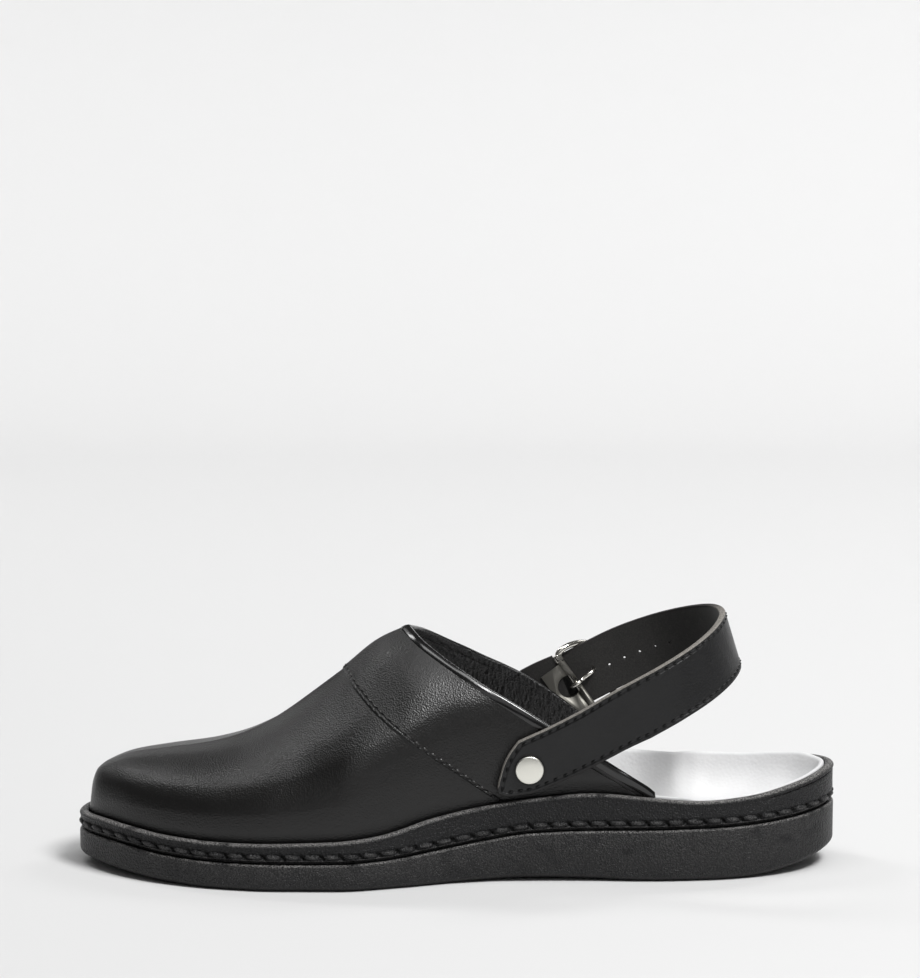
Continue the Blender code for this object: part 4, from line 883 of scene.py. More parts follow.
# %% Carrying a section along a path
def carried(name, path, outward, section, closed=False):
    """A solid from a section of (out, across) pairs at each point of a path. Out is the given direction made
    square to the path, and across is path direction x out. Open ends are closed by flat faces."""
    if closed:
        tangent = unit(np.roll(path, -1, axis=0) - np.roll(path, 1, axis=0))
    else:
        tangent = unit(np.gradient(path, axis=0))
    outward = unit(outward - (outward * tangent).sum(-1, keepdims=True) * tangent)
    across = np.cross(tangent, outward)
    section = np.broadcast_to(section, (len(path),) + section.shape[-2:])
    grid = path[:, None] + outward[:, None] * section[..., :1] + across[:, None] * section[..., 1:]
    rows, columns = grid.shape[:2]
    faces = [grid_faces(rows, columns, True)]
    if closed:
        k = np.arange(columns)
        last = (rows - 1) * columns
        faces.append(np.stack([last + k, last + (k + 1) % columns, (k + 1) % columns, k], axis=-1))
    else:
        ends = np.arange(columns)[None]
        faces += [ends[:, ::-1], ends + (rows - 1) * columns]
    run = along_rows(grid)
    around = np.broadcast_to(np.arange(columns) / columns, run.shape)
    piece = add_mesh(name, grid.reshape(-1, 3), faces, np.stack([run, around], axis=-1).reshape(-1, 2))
    close_up(piece)
    return piece


def circle(radius, count):
    """A circle of (out, across) pairs."""
    t = np.arange(count) * 2 * math.pi / count
    return np.stack([radius * np.cos(t), radius * np.sin(t)], axis=-1)


BINDING = np.array([
    # out from the collar's edge, towards the lining; the first points are the tape on the outer face
    (-2.45, -0.98), (-2.20, -1.12), (-1.80, -1.22), (-1.30, -1.30), (-0.80, -1.32), (-0.40, -1.28),
    (-0.10, -1.22), (0.12, -1.20), (0.45, -1.12), (0.75, -0.94), (1.00, -0.68), (1.18, -0.36), (1.25, -0.02),
    (1.19, 0.24),
    (1.02, 0.38), (1.00, 0.52), (0.98, 0.72), (0.80, 0.90), (0.50, 1.00), (0.00, 1.03), (-0.80, 1.03), (-1.60, 1.01),
    (-2.20, 0.94), (-2.35, 0.50), (-2.40, -0.40),
]) * MM
patent = Look("patent piping", (0.002, 0.002, 0.002), 0.2, Coat_Weight=0.5, Coat_Roughness=0.14)
patent.drive("Normal", patent.raise_by(patent.noise(2.2 * MM, 2.0), 0.06 * MM, 0.3))
fine_turns = np.concatenate([[-1.3, -1.15], np.linspace(-1, 0, 90)[:-1], np.linspace(0, 1, 90), [1.15, 1.3]])
ones = np.ones_like(fine_turns)
middle = across_upper(ones, fine_turns, ones * WALL / 2)
run = unit(np.gradient(middle, axis=0))
away = middle - across_upper(ones * 0.97, fine_turns, ones * WALL / 2)
away = unit(away - (away * run).sum(axis=1, keepdims=True) * run)
corners = [((across_upper(ones, fine_turns, ones * d) - middle) * away).sum(axis=1) for d in (0, WALL)]
reach = np.maximum(*corners) + (0.3 + 1.25 + 0.1) * MM
cord = middle + away * reach[:, None]
piping = carried("collar piping", cord, away, BINDING)
piping.data.materials.append(patent.material)
piping.data.materials.append(lining.material)
centres = np.zeros(len(piping.data.polygons) * 3)
piping.data.polygons.foreach_get("center", centres)
nearest = np.argmin(np.linalg.norm(centres.reshape(-1, 1, 3) - cord[None], axis=2), axis=1)
square = unit(away - (away * run).sum(axis=1, keepdims=True) * run)
inwards = np.cross(run, square)[nearest]
lining_side = ((centres.reshape(-1, 3) - cord[nearest]) * inwards).sum(axis=1) > 0.46 * MM
piping.data.polygons.foreach_set("material_index", lining_side.astype(np.int32))
finish(piping, patent.material, ["collar_piping"])

# %% [markdown]
# A strap is cut from thick vegetable-tanned leather, black on its face and left brown-black on its back, and its
# cut edge stays grey where the blade went through. That grey shows only on the upper edge of the heel strap's
# outer part: the lower edges are painted dark as shade, and the edges towards the inner side and those of the
# buckle strap are drawn dark too. Round the outer rivet the face is painted near black as the cap's shadow. A
# strap's run is a smooth curve through a few middle points, and its width leans a little forwards everywhere, so
# that it lies flat on the shoe and on the heel.

# %% Strap leathers
STITCHES_IN = 1.7 * MM
strap_face = Look("strap leather", (0.0068, 0.0068, 0.0073), 0.43, Specular_IOR_Level=0.4)
grain = strap_face.cells(0.85 * MM, "SMOOTH_F1", smoothness=0.55)
cloud = strap_face.noise(11 * MM, 2.0)
strap_face.drive("Roughness", strap_face.span(cloud, 0.3, 0.7, 0.38, 0.50))
inner = strap_face.attribute("from_edge")
off_line = strap_face.math("ABSOLUTE", strap_face.math("SUBTRACT", inner, STITCHES_IN))
line = strap_face.span(off_line, 0.15 * MM, 0.8 * MM, 1.0, 0.0)
patches = strap_face.span(strap_face.noise(1.1 * MM, 3.0), 0.42, 0.62)
rub = strap_face.math("MULTIPLY", strap_face.span(inner, 0.0, 0.9 * MM, 0.8, 0.0), patches)
rubbed = strap_face.blend(rub, (0.0075, 0.0075, 0.0080), (0.03, 0.028, 0.026))
# Painted shadow: near black under and just round the outer rivet's cap.
rivet_shadow = strap_face.attribute("painted_rivet_shadow")
strap_face.drive("Base Color", strap_face.blend(rivet_shadow, rubbed, (0.0004, 0.0004, 0.0004)))
fine = strap_face.raise_by(strap_face.noise(0.3 * MM), 0.04 * MM, 0.5)
normal = strap_face.raise_by(grain, 0.12 * MM, 0.6, fine)
strap_face.drive("Normal", strap_face.raise_by(line, -0.3 * MM, 0.8, normal))

strap_edge = Look("cut edge", (0.16, 0.148, 0.132), 0.80)
fibre = strap_edge.noise(0.45 * MM, 4.0)
raw = strap_edge.blend(strap_edge.span(fibre, 0.3, 0.72), (0.12, 0.112, 0.10), (0.32, 0.30, 0.275))
# The raw grey shows only where the kept share is 1; elsewhere the edge is near black, which on the lower edges is
# painted shade.
strap_edge.drive("Base Color", strap_edge.blend(strap_edge.attribute("raw_edge_share"), (0.012, 0.010, 0.010), raw))
strap_edge.drive("Normal", strap_edge.raise_by(fibre, 0.15 * MM, 0.6))

strap_back = Look("strap back", (0.0125, 0.0115, 0.0105), 0.72, Sheen_Weight=0.12, Sheen_Roughness=0.5)
nap = strap_back.noise(0.6 * MM, 4.0)
fuzz = strap_back.span(nap, 0.3, 0.75)
strap_back.drive("Base Color", strap_back.blend(fuzz, (0.0060, 0.0055, 0.0050), (0.016, 0.0145, 0.013)))
strap_back.drive("Normal", strap_back.raise_by(nap, 0.12 * MM, 0.5))

thread = Look("black thread", (0.0015, 0.0015, 0.0015), 0.6, Specular_IOR_Level=0.3)
thread.drive("Normal", thread.raise_by(thread.noise(0.25 * MM, 2.0), 0.1 * MM, 0.7))
# Painted highlight: the seam thread is drawn dark grey instead of black, for its glints.
waxed_highlit = Look("waxed thread", (0.035, 0.034, 0.033), 0.32)
print("strap leathers ready")


# %% [markdown]
# A strap can't stretch, so its places are distances along its own run. The run is a smooth curve through a few
# middle points that were read off the photo, taken at even steps of real length. That way holes and stitches
# keep their pitch round the heel. The riveted end is cut to a lopsided round, wider above than below.

# %% Run of a strap
def run_through(points, step):
    """Points at even steps on a smooth curve through the given ones, with the distance along it."""
    points = np.asarray(points, float)
    chord = path_length(points)
    fine = np.linspace(0, chord[-1], 2000)
    tangent = np.gradient(points, chord, axis=0)
    i = np.clip(np.searchsorted(chord, fine, side="right") - 1, 0, len(chord) - 2)
    span = (chord[i + 1] - chord[i])[:, None]
    s = (fine - chord[i])[:, None] / span
    curve = (
        points[i] * (1 + 2 * s) * (1 - s) ** 2
        + points[i + 1] * s * s * (3 - 2 * s)
        + span * tangent[i] * s * (1 - s) ** 2
        - span * tangent[i + 1] * s * s * (1 - s)
    )
    way = path_length(curve)
    places = np.linspace(0, way[-1], max(3, round(way[-1] / step)) + 1)
    return np.stack([np.interp(places, way, curve[:, k]) for k in range(3)], axis=-1), places


def strap_frame(line, places, facing):
    """Directions along, up and out of a strap. Up leans 17 degrees forwards and a little outwards at the sides,
    and is made square to the run. Out is along x up, turned away from the foot."""
    along = unit(np.gradient(line, places, axis=0))
    lean = math.radians(17)
    y = line[:, 1]
    forwards, high = np.full_like(y, -math.sin(lean)), np.full_like(y, math.cos(lean))
    up = np.stack([forwards, 0.05 * y / (37 * MM), high], axis=-1)
    up = unit(up - (up * along).sum(-1, keepdims=True) * along)
    return along, up, np.cross(along, up) * facing


def on_strap(strap, place, across, out):
    """(x, y, z) at a distance along a strap, up its width and out from its middle."""
    line, places, _, up, outward = strap
    middle, up, outward = (
        np.stack([np.interp(place, places, rows[:, k]) for k in range(3)], axis=-1) for rows in (line, up, outward)
    )
    return middle + unit(up) * np.asarray(across)[..., None] + unit(outward) * np.asarray(out)[..., None]


RIVET_END = np.array([
    # behind the rivet, above the middle, below the middle (shares of the strap's width)
    (-0.640, -0.075, 0.088),
    (-0.618, -0.030, 0.115),
    (-0.540, 0.060, 0.205),
    (-0.422, 0.165, 0.275),
    (-0.300, 0.275, 0.325),
    (-0.160, 0.381, 0.375),
    (-0.040, 0.455, 0.393),
    (0.089, 0.519, 0.402),
    (0.280, 0.548, 0.407),
    (0.480, 0.556, 0.410),
    (0.900, 0.552, 0.413),
    (1.400, 0.540, 0.425),
    (2.000, 0.505, 0.480),
])
FREE_END = np.array([(0.0, 0.15), (0.06, 0.29), (0.16, 0.40), (0.32, 0.48), (0.5, 0.5)])


def strap_widths(places, rivet, width, free):
    """Above and below the middle line, from the table at the riveted end and, for a free end, from its own."""
    behind = np.clip((places - rivet) / width, RIVET_END[0, 0], RIVET_END[-1, 0])
    above = smooth(behind, RIVET_END[:, 0], RIVET_END[:, 1]) * width
    below = smooth(behind, RIVET_END[:, 0], RIVET_END[:, 2]) * width
    if free:
        left = np.clip((places[-1] - places) / width, 0, FREE_END[-1, 0])
        narrow = smooth(left, FREE_END[:, 0], FREE_END[:, 1]) * width
        above, below = np.minimum(above, narrow), np.minimum(below, narrow)
    return above, below


print("strap helpers ready")


# %% [markdown]
# The strap is cut from sheet and its edges are rubbed round with a stick. The band is built as one closed section
# from place to place, with quarter rounds at its four edges. The stitches are real small pieces, because light
# catches each thread. They follow the strap's outline, moved in by the width that a machine's foot leaves.

# %% Strap and its stitches
def make_strap(name, strap, widths, thick, columns=40, raw_edge_share=None):
    """A solid band. Its section goes down the face, round the lower edge, up the back and round the upper edge.
    Edges are quarter circles of 0.45 mm. Each point keeps its distance from the strap's own outline."""
    line, places, _, up, outward = strap
    above, below = widths
    r = 0.45 * MM
    turn = np.radians(np.linspace(0, 90, 4))
    s = np.linspace(0, 1, columns)
    s = s - 0.06 * np.sin(2 * math.pi * s)
    top, foot = above - r, -(below - r)
    parts, kinds = [], []
    parts.append((top[:, None] + (foot - top)[:, None] * s, np.full((1, columns), thick / 2)))
    kinds += [0] * columns
    parts.append((foot[:, None] - r * np.sin(turn[1:]), thick / 2 - r * (1 - np.cos(turn[1:]))[None]))
    parts.append((foot[:, None] - r * np.cos(turn[:-1]), -(thick / 2 - r * (1 - np.sin(turn[:-1])))[None]))
    kinds += [1] * 6
    parts.append((foot[:, None] + (top - foot)[:, None] * s[::2], np.full((1, len(s[::2])), -thick / 2)))
    kinds += [2] * len(s[::2])
    parts.append((top[:, None] + r * np.sin(turn[1:]), -(thick / 2 - r * (1 - np.cos(turn[1:])))[None]))
    parts.append((top[:, None] + r * np.cos(turn[:-1]), (thick / 2 - r * (1 - np.sin(turn[:-1])))[None]))
    kinds += [1] * 6
    across = np.concatenate([p[0] for p in parts], axis=1)
    out = np.concatenate([np.broadcast_to(p[1], p[0].shape) for p in parts], axis=1)
    grid = line[:, None] + up[:, None] * across[..., None] + outward[:, None] * out[..., None]
    rows, size = across.shape
    ends = np.arange(size)[None]
    faces = [grid_faces(rows, size, True), ends[:, ::-1], ends + (rows - 1) * size]
    flat = np.stack([np.broadcast_to(places[:, None], across.shape), across], axis=-1).reshape(-1, 2)
    piece = add_mesh(name, grid.reshape(-1, 3), faces, flat, 30)
    outline = np.concatenate([np.stack([places, above], axis=-1), np.stack([places, -below], axis=-1)])
    near = np.full(len(flat), 1.0)
    for part in np.array_split(outline, 12):
        near = np.minimum(near, np.sqrt(((flat[:, None] - part[None]) ** 2).sum(-1)).min(axis=1))
    keep_numbers(piece, "from_edge", near)
    # Only the upper edge can show the raw grey; the lower edge is painted dark as shade.
    raw_edge_share = np.zeros(rows) if raw_edge_share is None else raw_edge_share
    keep_numbers(piece, "raw_edge_share", np.where(across > 0.05 * thick, raw_edge_share[:, None], 0.0))
    for look in (strap_face, strap_edge, strap_back):
        piece.data.materials.append(look.material)
    kinds = np.array(kinds)
    face_kind = np.where(kinds == np.roll(kinds, -1), kinds, 1)
    index = np.concatenate([np.tile(face_kind, rows - 1), [1, 1]]).astype(np.int32)
    piece.data.polygons.foreach_set("material_index", index)
    close_up(piece)
    return piece


def stitches(name, centres, ways, outs, long, thick):
    """Short arched threads. Each is a tube of 7 rings of 6 points along its way: its radius falls at the ends as
    the square root of 1 - t^6, and its middle stands above its ends by a parabola."""
    t = np.linspace(-1, 1, 7)
    phi = np.arange(6) * math.pi / 3
    radius = thick / 2 * np.sqrt(np.clip(1 - np.abs(t) ** 6, 0.06, 1))
    lift = thick * (0.30 - 0.95 * t ** 2)
    beside = np.cross(ways, outs)
    rings = (
        centres[:, None, None]
        + ways[:, None, None] * (t * long / 2)[None, :, None, None]
        + outs[:, None, None] * (lift[:, None] + radius[:, None] * np.cos(phi))[None, ..., None]
        + beside[:, None, None] * (radius[:, None] * np.sin(phi))[None, ..., None]
    )
    count = len(centres)
    start = (np.arange(count) * 42)[:, None, None]
    quads = (grid_faces(7, 6, True)[None] + start).reshape(-1, 4)
    caps = (np.stack([np.arange(6)[::-1], np.arange(6) + 36])[None] + start).reshape(-1, 6)
    piece = add_mesh(name, rings.reshape(-1, 3), [quads, caps])
    close_up(piece)
    print(name, count, "stitches")
    return piece


def inner_line(strap, widths, thick, inset, pitch, first, last):
    """Places of stitches along the strap's outline moved in by inset, at even steps of real length."""
    places = strap[1]
    above, below = widths
    outline = np.concatenate([np.stack([places, above], axis=-1)[::-1], np.stack([places, -below], axis=-1)])
    tangent = unit(np.gradient(outline, axis=0))
    moved = outline + np.stack([-tangent[:, 1], tangent[:, 0]], axis=-1) * inset
    keep = (moved[:, 0] > first) & (moved[:, 0] < last)
    moved = moved[keep]
    way = path_length(moved)
    marks = np.arange(pitch, way[-1] - pitch / 2, pitch)
    flat = np.stack([np.interp(marks, way, moved[:, k]) for k in (0, 1)], axis=-1)
    ahead = np.stack([np.interp(marks + 0.4 * MM, way, moved[:, k]) for k in (0, 1)], axis=-1)
    centres = on_strap(strap, flat[:, 0], flat[:, 1], np.full(len(flat), thick / 2))
    ways = unit(on_strap(strap, ahead[:, 0], ahead[:, 1], np.full(len(flat), thick / 2)) - centres)
    lifted = on_strap(strap, flat[:, 0], flat[:, 1], np.full(len(flat), thick))
    outs = unit(lifted - centres)
    return centres, ways, unit(outs - (outs * ways).sum(-1, keepdims=True) * ways)


# %% [markdown]
# The heel strap is riveted at the outer waist, goes round the heel and through the buckle on the inner side.
# Its free end has six punched holes, which are cut with hidden rods, so their walls show the raw leather.


# %% Heel strap
def rod(name, centre, axis, radius, long, count=28, material=None):
    """A hidden cutter: a cylinder through a centre, along an axis."""
    path = centre + np.linspace(-0.5, 0.5, 3)[:, None] * axis * long
    side_way = np.cross(axis, (0.0, 0.0, 1.0)) if abs(axis[2]) < 0.9 else np.cross(axis, (1.0, 0.0, 0.0))
    piece = as_cutter(carried(name, path, np.broadcast_to(side_way, path.shape), circle(radius, count)))
    if material is not None:
        piece.data.materials.append(material)
    return piece


STRAP_LINE = np.array([
    (-71.2, -36.4, 34.8), (-62.9, -35.7, 40.2), (-55.7, -35.5, 43.7), (-48.5, -35.7, 47.0), (-34.5, -37.1, 54.6),
    (-21.0, -37.8, 62.9), (-7.1, -35.7, 70.3), (5.1, -27.8, 76.5), (13.7, -15.3, 81.2), (17.5, -0.3, 84.1),
    (14.8, 15.3, 83.9), (6.4, 28.4, 81.0), (-6.1, 36.7, 76.5), (-20.4, 39.1, 70.9), (-34.4, 38.5, 64.0),
    (-48.3, 37.8, 56.6), (-55.2, 37.5, 52.8),
]) * MM
STRAP_THICK, STRAP_WIDE = 2.4 * MM, 22.5 * MM
OUTER_RIVET = np.array((-58.68, -36.74, 42.22)) * MM
line, places = run_through(STRAP_LINE, 0.55 * MM)
heel_run = (line, places, *strap_frame(line, places, 1))
heel_widths = strap_widths(places, 0.64 * STRAP_WIDE, STRAP_WIDE, True)
# The upper edge's raw grey fades out towards the inner side.
heel_strap = make_strap("heel strap", heel_run, heel_widths, STRAP_THICK, raw_edge_share=ease(line[:, 1], 20 * MM, -2 * MM))
FIRST_PUNCH, PUNCH_PITCH = 25.9 * MM, 6.5 * MM
for k in range(1, 6):
    place = places[-1] - FIRST_PUNCH - k * PUNCH_PITCH
    centre = on_strap(heel_run, place, -1.0 * MM, 0.0)
    axis = on_strap(heel_run, place, -1.0 * MM, 1.0) - centre
    punch = rod(f"strap punch {k + 1}", centre, axis, 0.48 * MM, 8 * MM, material=strap_back.material)
    cut_out(heel_strap, punch)
points = np.zeros(len(heel_strap.data.vertices) * 3)
heel_strap.data.vertices.foreach_get("co", points)
points = points.reshape(-1, 3)
# Painted shadow of the rivet's cap: a disc of the strap's face out to just past the cap's edge.
to_rivet = np.linalg.norm((points - OUTER_RIVET)[:, [0, 2]], axis=1)
keep_numbers(heel_strap, "painted_rivet_shadow", ease(to_rivet, 6.4 * MM, 5.9 * MM) * (points[:, 1] < 0))
finish(heel_strap, strap_face.material, ["heel_strap"])
last = places[-1] - 2.0 * MM
marks = inner_line(heel_run, heel_widths, STRAP_THICK, STITCHES_IN, 3.7 * MM, 2.0 * MM, last)
finish(stitches("heel strap stitches", *marks, 2.5 * MM, 0.58 * MM), thread.material)

# %% [markdown]
# The short strap on the inner side only holds the buckle. It is cut with the same rounded end as the long one and
# bends a little, because the buckle pulls it back and up. The same band does for both, turned the other way.

# %% Buckle strap
TAB_LINE = np.array([
    (-74.5, 35.3, 39.2), (-68.9, 34.8, 44.0), (-64.7, 34.2, 48.0), (-60.3, 33.9, 51.9), (-55.8, 33.9, 55.2),
    (-51.1, 34.1, 57.8), (-44.0, 34.5, 61.0),
]) * MM
TAB_THICK, TAB_WIDE = 2.0 * MM, 20.5 * MM
line, places = run_through(TAB_LINE, 0.5 * MM)
tab_run = (line, places, *strap_frame(line, places, -1))
tab_widths = strap_widths(places, 0.64 * TAB_WIDE, TAB_WIDE, False)
buckle_strap = make_strap("buckle strap", tab_run, tab_widths, TAB_THICK, 30)
finish(buckle_strap, strap_face.material, ["buckle_strap"])

# %% [markdown]
# Rivets, buckle and prong are steel with a bright nickel finish; the clamp plate's nickel is drawn much darker,
# as painted shade. A rivet is turned, so its outline is carried round an axis. The cap is nearly flat with a soft
# edge, because it is pressed from sheet.

# %% Nickel and the rivets
nickel = Look("bright nickel", (0.70, 0.68, 0.63), 0.17, Metallic=1.0)
haze = nickel.noise(6 * MM, 3.0)
scratch = nickel.noise(0.8 * MM, 4.0)
nickel.drive("Roughness", nickel.span(haze, 0.3, 0.7, 0.13, 0.24))
nickel.drive("Normal", nickel.raise_by(scratch, 0.012 * MM, 0.6))
cap_metal = Look("satin cap", (0.86, 0.85, 0.78), 0.36, Metallic=1.0)
cap_metal.drive("Normal", cap_metal.raise_by(cap_metal.noise(0.7 * MM, 3.0), 0.015 * MM, 0.6))
# Painted shade: the plate's nickel is made dark, as the shade on the plate.
shaded_plate_metal = Look("satin plate", (0.20, 0.194, 0.175), 0.5, Metallic=1.0)
shaded_plate_metal.drive("Normal", shaded_plate_metal.raise_by(shaded_plate_metal.noise(0.5 * MM, 3.0), 0.02 * MM, 0.6))


def turned(name, centre, axis, outline, count=64):
    """A solid of revolution: each (radius, height) of the outline goes round the axis. Both ends lie on it."""
    axis = np.array(axis) / np.linalg.norm(axis)
    first = unit(np.cross(axis, (0.0, 0.0, 1.0)))
    second = np.cross(axis, first)
    outline = np.array(outline)
    t = np.arange(count) * 2 * math.pi / count
    ring = first * np.cos(t)[:, None] + second * np.sin(t)[:, None]
    grid = np.array(centre) + outline[:, None, :1] * ring[None] + outline[:, None, 1:] * axis
    rows = len(outline)
    piece = add_mesh(name, grid.reshape(-1, 3), [grid_faces(rows, count, True)])
    close_up(piece)
    return piece


def rivet_outline(stack):
    """Cap, shank and washer of a rivet that holds a stack of leather."""
    cap, rise, gap = 5.2, 1.5, 0.3
    t = np.linspace(0, 1, 16)
    dome = np.stack([cap * 0.90 * t, gap + rise * (1 - 0.26 * t ** 2.6)], axis=-1)
    q = np.radians(np.linspace(20, 100, 7))
    rim_edge = np.stack([cap * 0.90 + 0.52 * np.sin(q), gap + 0.60 + 0.52 * np.cos(q)], axis=-1)
    shank = [(5.2, gap + 0.25), (5.05, gap), (1.6, gap)]
    washer = np.array([
        (1.6, 0), (4.0, 0), (4.2, -0.2), (4.15, -0.6), (3.8, -0.8), (2.0, -0.8), (1.7, -0.65), (0, -0.6),
    ])
    return np.concatenate([dome, rim_edge, shank, washer - (0, stack)]) * MM


INNER_RIVET = np.array((-64.25, 35.20, 45.67)) * MM
outer_cap = turned("rivet_outer_cap", OUTER_RIVET, (0.0509, -0.9981, -0.0346), rivet_outline(6.48))
inner_cap = turned("rivet_inner_cap", INNER_RIVET, (0.1101, 0.9938, -0.0144), rivet_outline(6.13))
finish(outer_cap, cap_metal.material, ["rivet_outer"])
finish(inner_cap, cap_metal.material, ["rivet_inner"])

# %% [markdown]
# The buckle is a bent wire frame that turns on its own straight bar, a prong with an eye round that bar, and a
# plate folded round the bar that clamps the buckle strap. All are given in the bar's own directions: back along
# the strap, up its width, and out from the foot.


# %% Buckle frame
BAR = np.array((-39.20, 34.60, 60.30)) * MM
BACK = np.array((0.8077, 0.0490, 0.5876))
UP = np.array((-0.5892, 0.0325, 0.8073))
OUT = np.array((-0.0205, 0.9983, -0.0551))
WIRE = 1.2 * MM
LIFT = 3.6 * MM
FRAME_LONG = 16.5 * MM


def by_bar(back, up, out):
    """Points at distances back along the strap, up its width and out from the foot, from the bar's middle."""
    back, up, out = np.broadcast_arrays(back, up, out)
    return BAR + back[..., None] * BACK + up[..., None] * UP + out[..., None] * OUT


FRAME_SIDE = np.array([
    # back along the strap, up its width
    (0.0, 9.0), (0.05, 11.6), (0.9, 13.3), (3.0, 13.9), (5.6, 13.6), (8.4, 12.5), (11.0, 10.8), (13.4, 8.4),
    (15.2, 5.7), (16.2, 2.9), (16.5, 0.0),
]) * MM
far_out = LIFT + STRAP_THICK / 2 + 0.6 * MM + WIRE
half_ring, _ = run_through(np.pad(FRAME_SIDE, ((0, 0), (0, 1))), 0.8 * MM)
bar_line = np.linspace(-9.0, 9.0, 20)[1:-1, None] * MM * np.array((0.0, 1.0, 0.0))
loop = np.concatenate([half_ring, (half_ring * (1, -1, 1))[::-1][1:], bar_line])
out = far_out * ease(loop[:, 0], WIRE, FRAME_LONG * 0.9)
ring = by_bar(loop[:, 0], loop[:, 1], out)
normal = np.broadcast_to(OUT, ring.shape)
frame_wire = carried("buckle_frame_wire", ring, normal, circle(WIRE, 16), closed=True)
finish(frame_wire, nickel.material, ["buckle_frame"])
knuckle = np.array((
    (0.0, -0.1), (1.75, 0.0), (2.0, 0.25), (2.05, 1.5), (2.0, 2.75), (1.75, 3.0), (0.0, 3.1),
)) * MM
for name, place in (("upper", 10.6 * MM), ("lower", -13.6 * MM)):
    finish(turned(f"bar_knuckle_{name}", by_bar(0.0, place, 0.0), UP, knuckle, 32), nickel.material)

# %% [markdown]
# The prong is one wire: an open eye round the bar, then a pin that rises through the strap's hole, runs over its
# face and rests on the frame's far side. Its line is drawn through a few such stations, and its tip is thinner.

# %% Buckle prong
eye = WIRE + 0.3 * MM + 0.75 * MM
t = np.radians(np.linspace(140, 335, 22))
top = LIFT + STRAP_THICK / 2
to_strap = np.array([(2.9, -0.4), (6.8, 0.3), (8.0, 1.2)]) * MM
through = np.array([(8.4 * MM, LIFT - STRAP_THICK / 2), (8.5 * MM, top), (9.3 * MM, top + 1.6 * MM)])
over_frame = np.array([(11.4, 1.5), (14.0, 1.9), (16.5, 2.25), (18.0, 1.5)]) * MM + (0, far_out)
way = np.concatenate([np.stack([eye * np.cos(t), eye * np.sin(t)], axis=-1), to_strap, through, over_frame])
smooth_way, _ = run_through(by_bar(way[:, 0], 0.0, way[:, 1]), 0.35 * MM)
radius = 0.75 * MM * (1 - 0.35 * ease(np.linspace(0, 1, len(smooth_way)), 0.85, 1.0))
section = circle(1.0, 14)[None] * radius[:, None, None]
prong = carried("buckle_prong_wire", smooth_way, np.broadcast_to(UP, smooth_way.shape), section)
finish(prong, nickel.material, ["buckle_prong"])
punch = rod("strap punch 1", by_bar(8.45 * MM, 0.0, LIFT), OUT, 0.85 * MM, 8 * MM, material=strap_back.material)
cut_out(heel_strap, punch)

# %% [markdown]
# The plate is a strip of sheet folded round the bar, with both legs on the buckle strap. A round slot is punched
# through it before folding, so that the prong can swing. Here the folded strip is built whole, and the slot and
# the gap at the fold are cut afterwards, because their edges then come out true.

# %% Buckle plate
leg = TAB_THICK / 2 + 0.3 * MM
LEG_BACK = -9.5 * MM
t = np.radians(np.linspace(-140, 140, 25))
around_bar = 1.55 * MM * np.stack([np.cos(t), np.sin(t)], axis=-1)
t = np.radians(np.linspace(150, -150, 25))
inside_wrap = 1.25 * MM * np.stack([np.cos(t), np.sin(t)], axis=-1)
face = np.array([(LEG_BACK, -leg - 0.6 * MM), (-4.5 * MM, -leg - 0.6 * MM), (-2.5 * MM, -leg - 0.6 * MM),
                 (-2.05 * MM, -leg - 0.42 * MM), (-1.75 * MM, -leg - 0.05 * MM)])
back_face = np.array([(LEG_BACK, leg), (-4.5 * MM, leg), (-2.4 * MM, leg)])
outer_path = [face, around_bar, (face * (1, -1))[::-1]]
inner_path = [back_face, inside_wrap, (back_face * (1, -1))[::-1]]
path = np.concatenate(outer_path + inner_path)
levels = np.array((-10.2, -10.02, 0.0, 10.02, 10.2)) * MM
grid = by_bar(path[None, :, 0], levels[:, None], path[None, :, 1])
size = len(path)
k = np.arange(size // 2 - 1)
ends = np.stack([k, k + 1, size - 2 - k, size - 1 - k], axis=-1)
last = (len(levels) - 1) * size
faces = [grid_faces(len(levels), size, True), ends, ends[:, ::-1] + last]
plate = add_mesh("buckle_clamp_plate", grid.reshape(-1, 3), faces)
close_up(plate)
cut_out(plate, rod("plate slot", by_bar(-2.9 * MM, 0.9 * MM, 0.0), OUT, 4.3 * MM, 8 * MM, 48))
gap_back, gap_up, gap_out = (CUBE_CORNERS * (6.4, 2.6, 8) + (0.5, 0, 0)).T * MM
gap_box = by_bar(gap_back, gap_up, gap_out)
gap_cutter = as_cutter(add_mesh("plate gap", gap_box, [CUBE_FACES]))
close_up(gap_cutter)
cut_out(plate, gap_cutter)
finish(plate, shaded_plate_metal.material, ["buckle_plate"])

# %% [markdown]
# The seam between vamp and quarter is sewn with black thread, drawn dark grey as a painted highlight for its
# glints. Its stitches lie in the furrow that the leather's material draws, a millimetre behind the quarter's cut
# edge, between two needle holes each.


# %% Stitches of the upper
def stitches_on_upper(name, level, behind_seam, pitch, long, thick):
    """Stitches along one line across the upper, at even steps of real length, a distance behind the seam."""
    grid_turn = np.interp(np.arange(pitch, seam_run[-1], pitch), seam_run, turns)
    grid_turn = grid_turn[np.abs(grid_turn) < level]
    ahead = across_upper(np.full_like(grid_turn, SEAM + 0.05), grid_turn, np.zeros_like(grid_turn))
    base = across_upper(np.full_like(grid_turn, SEAM + SEAM_RISE), grid_turn, np.zeros_like(grid_turn))
    step = 0.05 * (behind_seam / np.linalg.norm(ahead - base, axis=1))
    at_here = SEAM + SEAM_RISE + step
    centres = across_upper(at_here, grid_turn, np.zeros_like(grid_turn))
    ways = unit(across_upper(at_here, grid_turn + 0.004, np.zeros_like(grid_turn)) - centres)
    back = unit(across_upper(at_here + 0.01, grid_turn, np.zeros_like(grid_turn)) - centres)
    outs = unit(np.cross(ways, back)) * -1
    outs = outs * np.sign((outs * (centres - np.array((-0.08, 0.0, 0.02)))).sum(-1, keepdims=True))
    centres = centres - outs * 0.12 * MM
    return stitches(name, centres, ways, outs, long, thick)


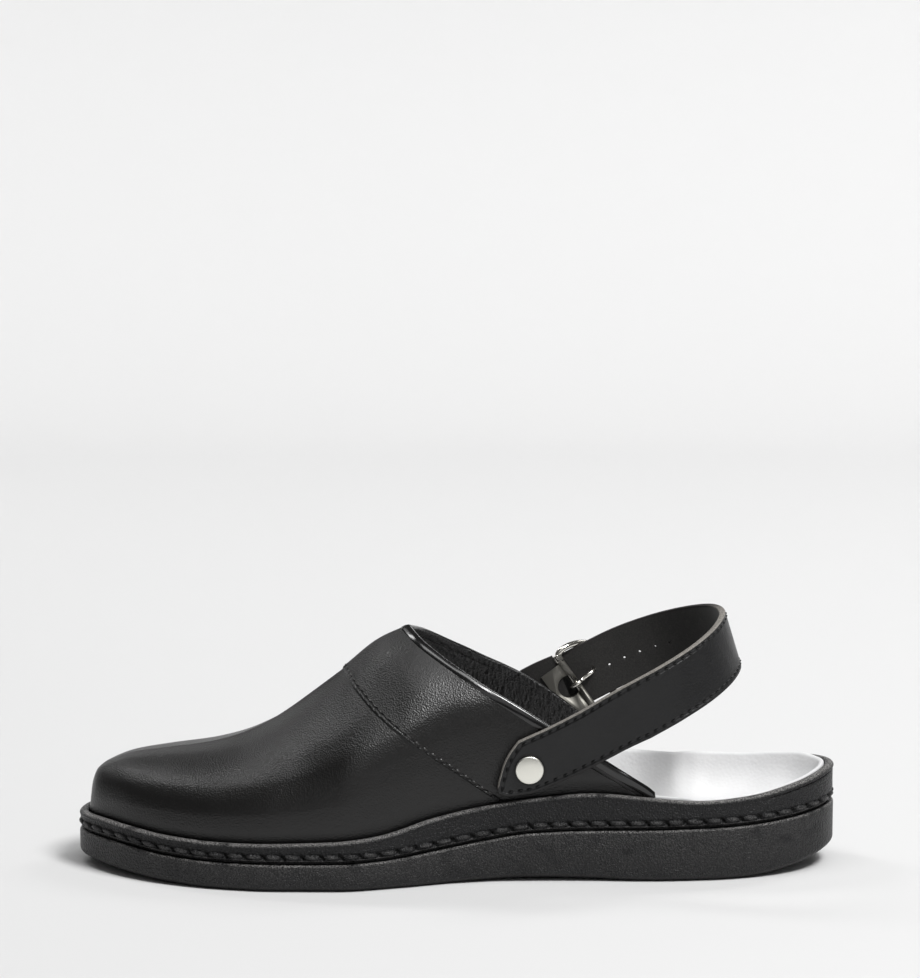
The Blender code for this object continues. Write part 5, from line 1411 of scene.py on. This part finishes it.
sewn = stitches_on_upper("seam_stitches", 0.97, SEAM_BEHIND, SEAM_PITCH, 2.5 * MM, 0.6 * MM)
finish(sewn, waxed_highlit.material)

# %% [markdown]
# The clog stands on a plain pale floor that runs up into the background, under soft studio light. The camera is
# where the photographer stood: level with the shoe and a little above, with a long lens. A long softbox overhead
# draws the band of light on the vamp. A stronger one, right and in front, lights the quarter beside the piping,
# and two small ones light the backdrop, which stands far enough back for a camera behind the shoe.

# %% Floor, light and camera
ground = Look("pale floor", (0.70, 0.70, 0.70), 0.9)
wide, near, far, tall, bend = 3.0, -2.4, 1.6, 0.6, 0.4
arc = np.radians(np.linspace(0, 90, 25))
run = np.concatenate([[near], far - bend + bend * np.sin(arc), [far]])
rise = np.concatenate([[0], bend * (1 - np.cos(arc)), [tall]])
points = np.array([[(x, y, z - 0.0002) for x in (-wide, wide)] for y, z in zip(run, rise)])
floor = add_mesh("floor", points.reshape(-1, 3), [grid_faces(len(run), 2, False)[:, ::-1]])
floor.data.materials.append(ground.material)


def softbox(name, place, aim, size, power):
    """A rectangular area lamp that faces a point."""
    lamp = bpy.data.lights.new(name, "AREA")
    lamp.shape, lamp.size, lamp.size_y, lamp.energy = "RECTANGLE", size[0], size[1], power
    holder = bpy.data.objects.new(name, lamp)
    bpy.context.scene.collection.objects.link(holder)
    away = Matrix.Translation(place).translation - Matrix.Translation(aim).translation
    holder.matrix_world = Matrix.Translation(place) @ away.to_track_quat("Z", "Y").to_matrix().to_4x4()
    return holder


softbox("overhead softbox", (-0.20, -0.20, 2.1), (-0.12, 0.02, 0.0), (1.5, 0.6), 11)
softbox("side softbox", (0.80, -0.78, 1.9), (-0.08, 0.0, 0.05), (0.7, 0.6), 42)
softbox("front fill", (0.25, -1.75, 1.15), (-0.08, 0.0, 0.05), (1.5, 1.0), 3)
softbox("left backdrop lamp", (-1.0, 0.80, 1.3), (-0.6, 1.60, 0.25), (0.8, 0.4), 9)
softbox("right backdrop lamp", (0.85, 0.80, 1.3), (0.45, 1.60, 0.25), (0.8, 0.4), 9)
world = bpy.data.worlds.new("studio")
world.use_nodes = True
world.node_tree.nodes["Background"].inputs["Color"].default_value = (1, 1, 1, 1)
world.node_tree.nodes["Background"].inputs["Strength"].default_value = 0.09
bpy.context.scene.world = world
bpy.context.scene.view_settings.view_transform = "Standard"

lens = bpy.data.cameras.new("photo camera")
lens.lens, lens.sensor_width = 125.86, 36
camera = bpy.data.objects.new("photo camera", lens)
camera.location = (-0.0842, -1.2663, 0.3192)
camera.rotation_euler = (math.radians(82), 0, 0)
bpy.context.scene.collection.objects.link(camera)
bpy.context.scene.camera = camera
print("camera", tuple(round(v, 3) for v in camera.location))
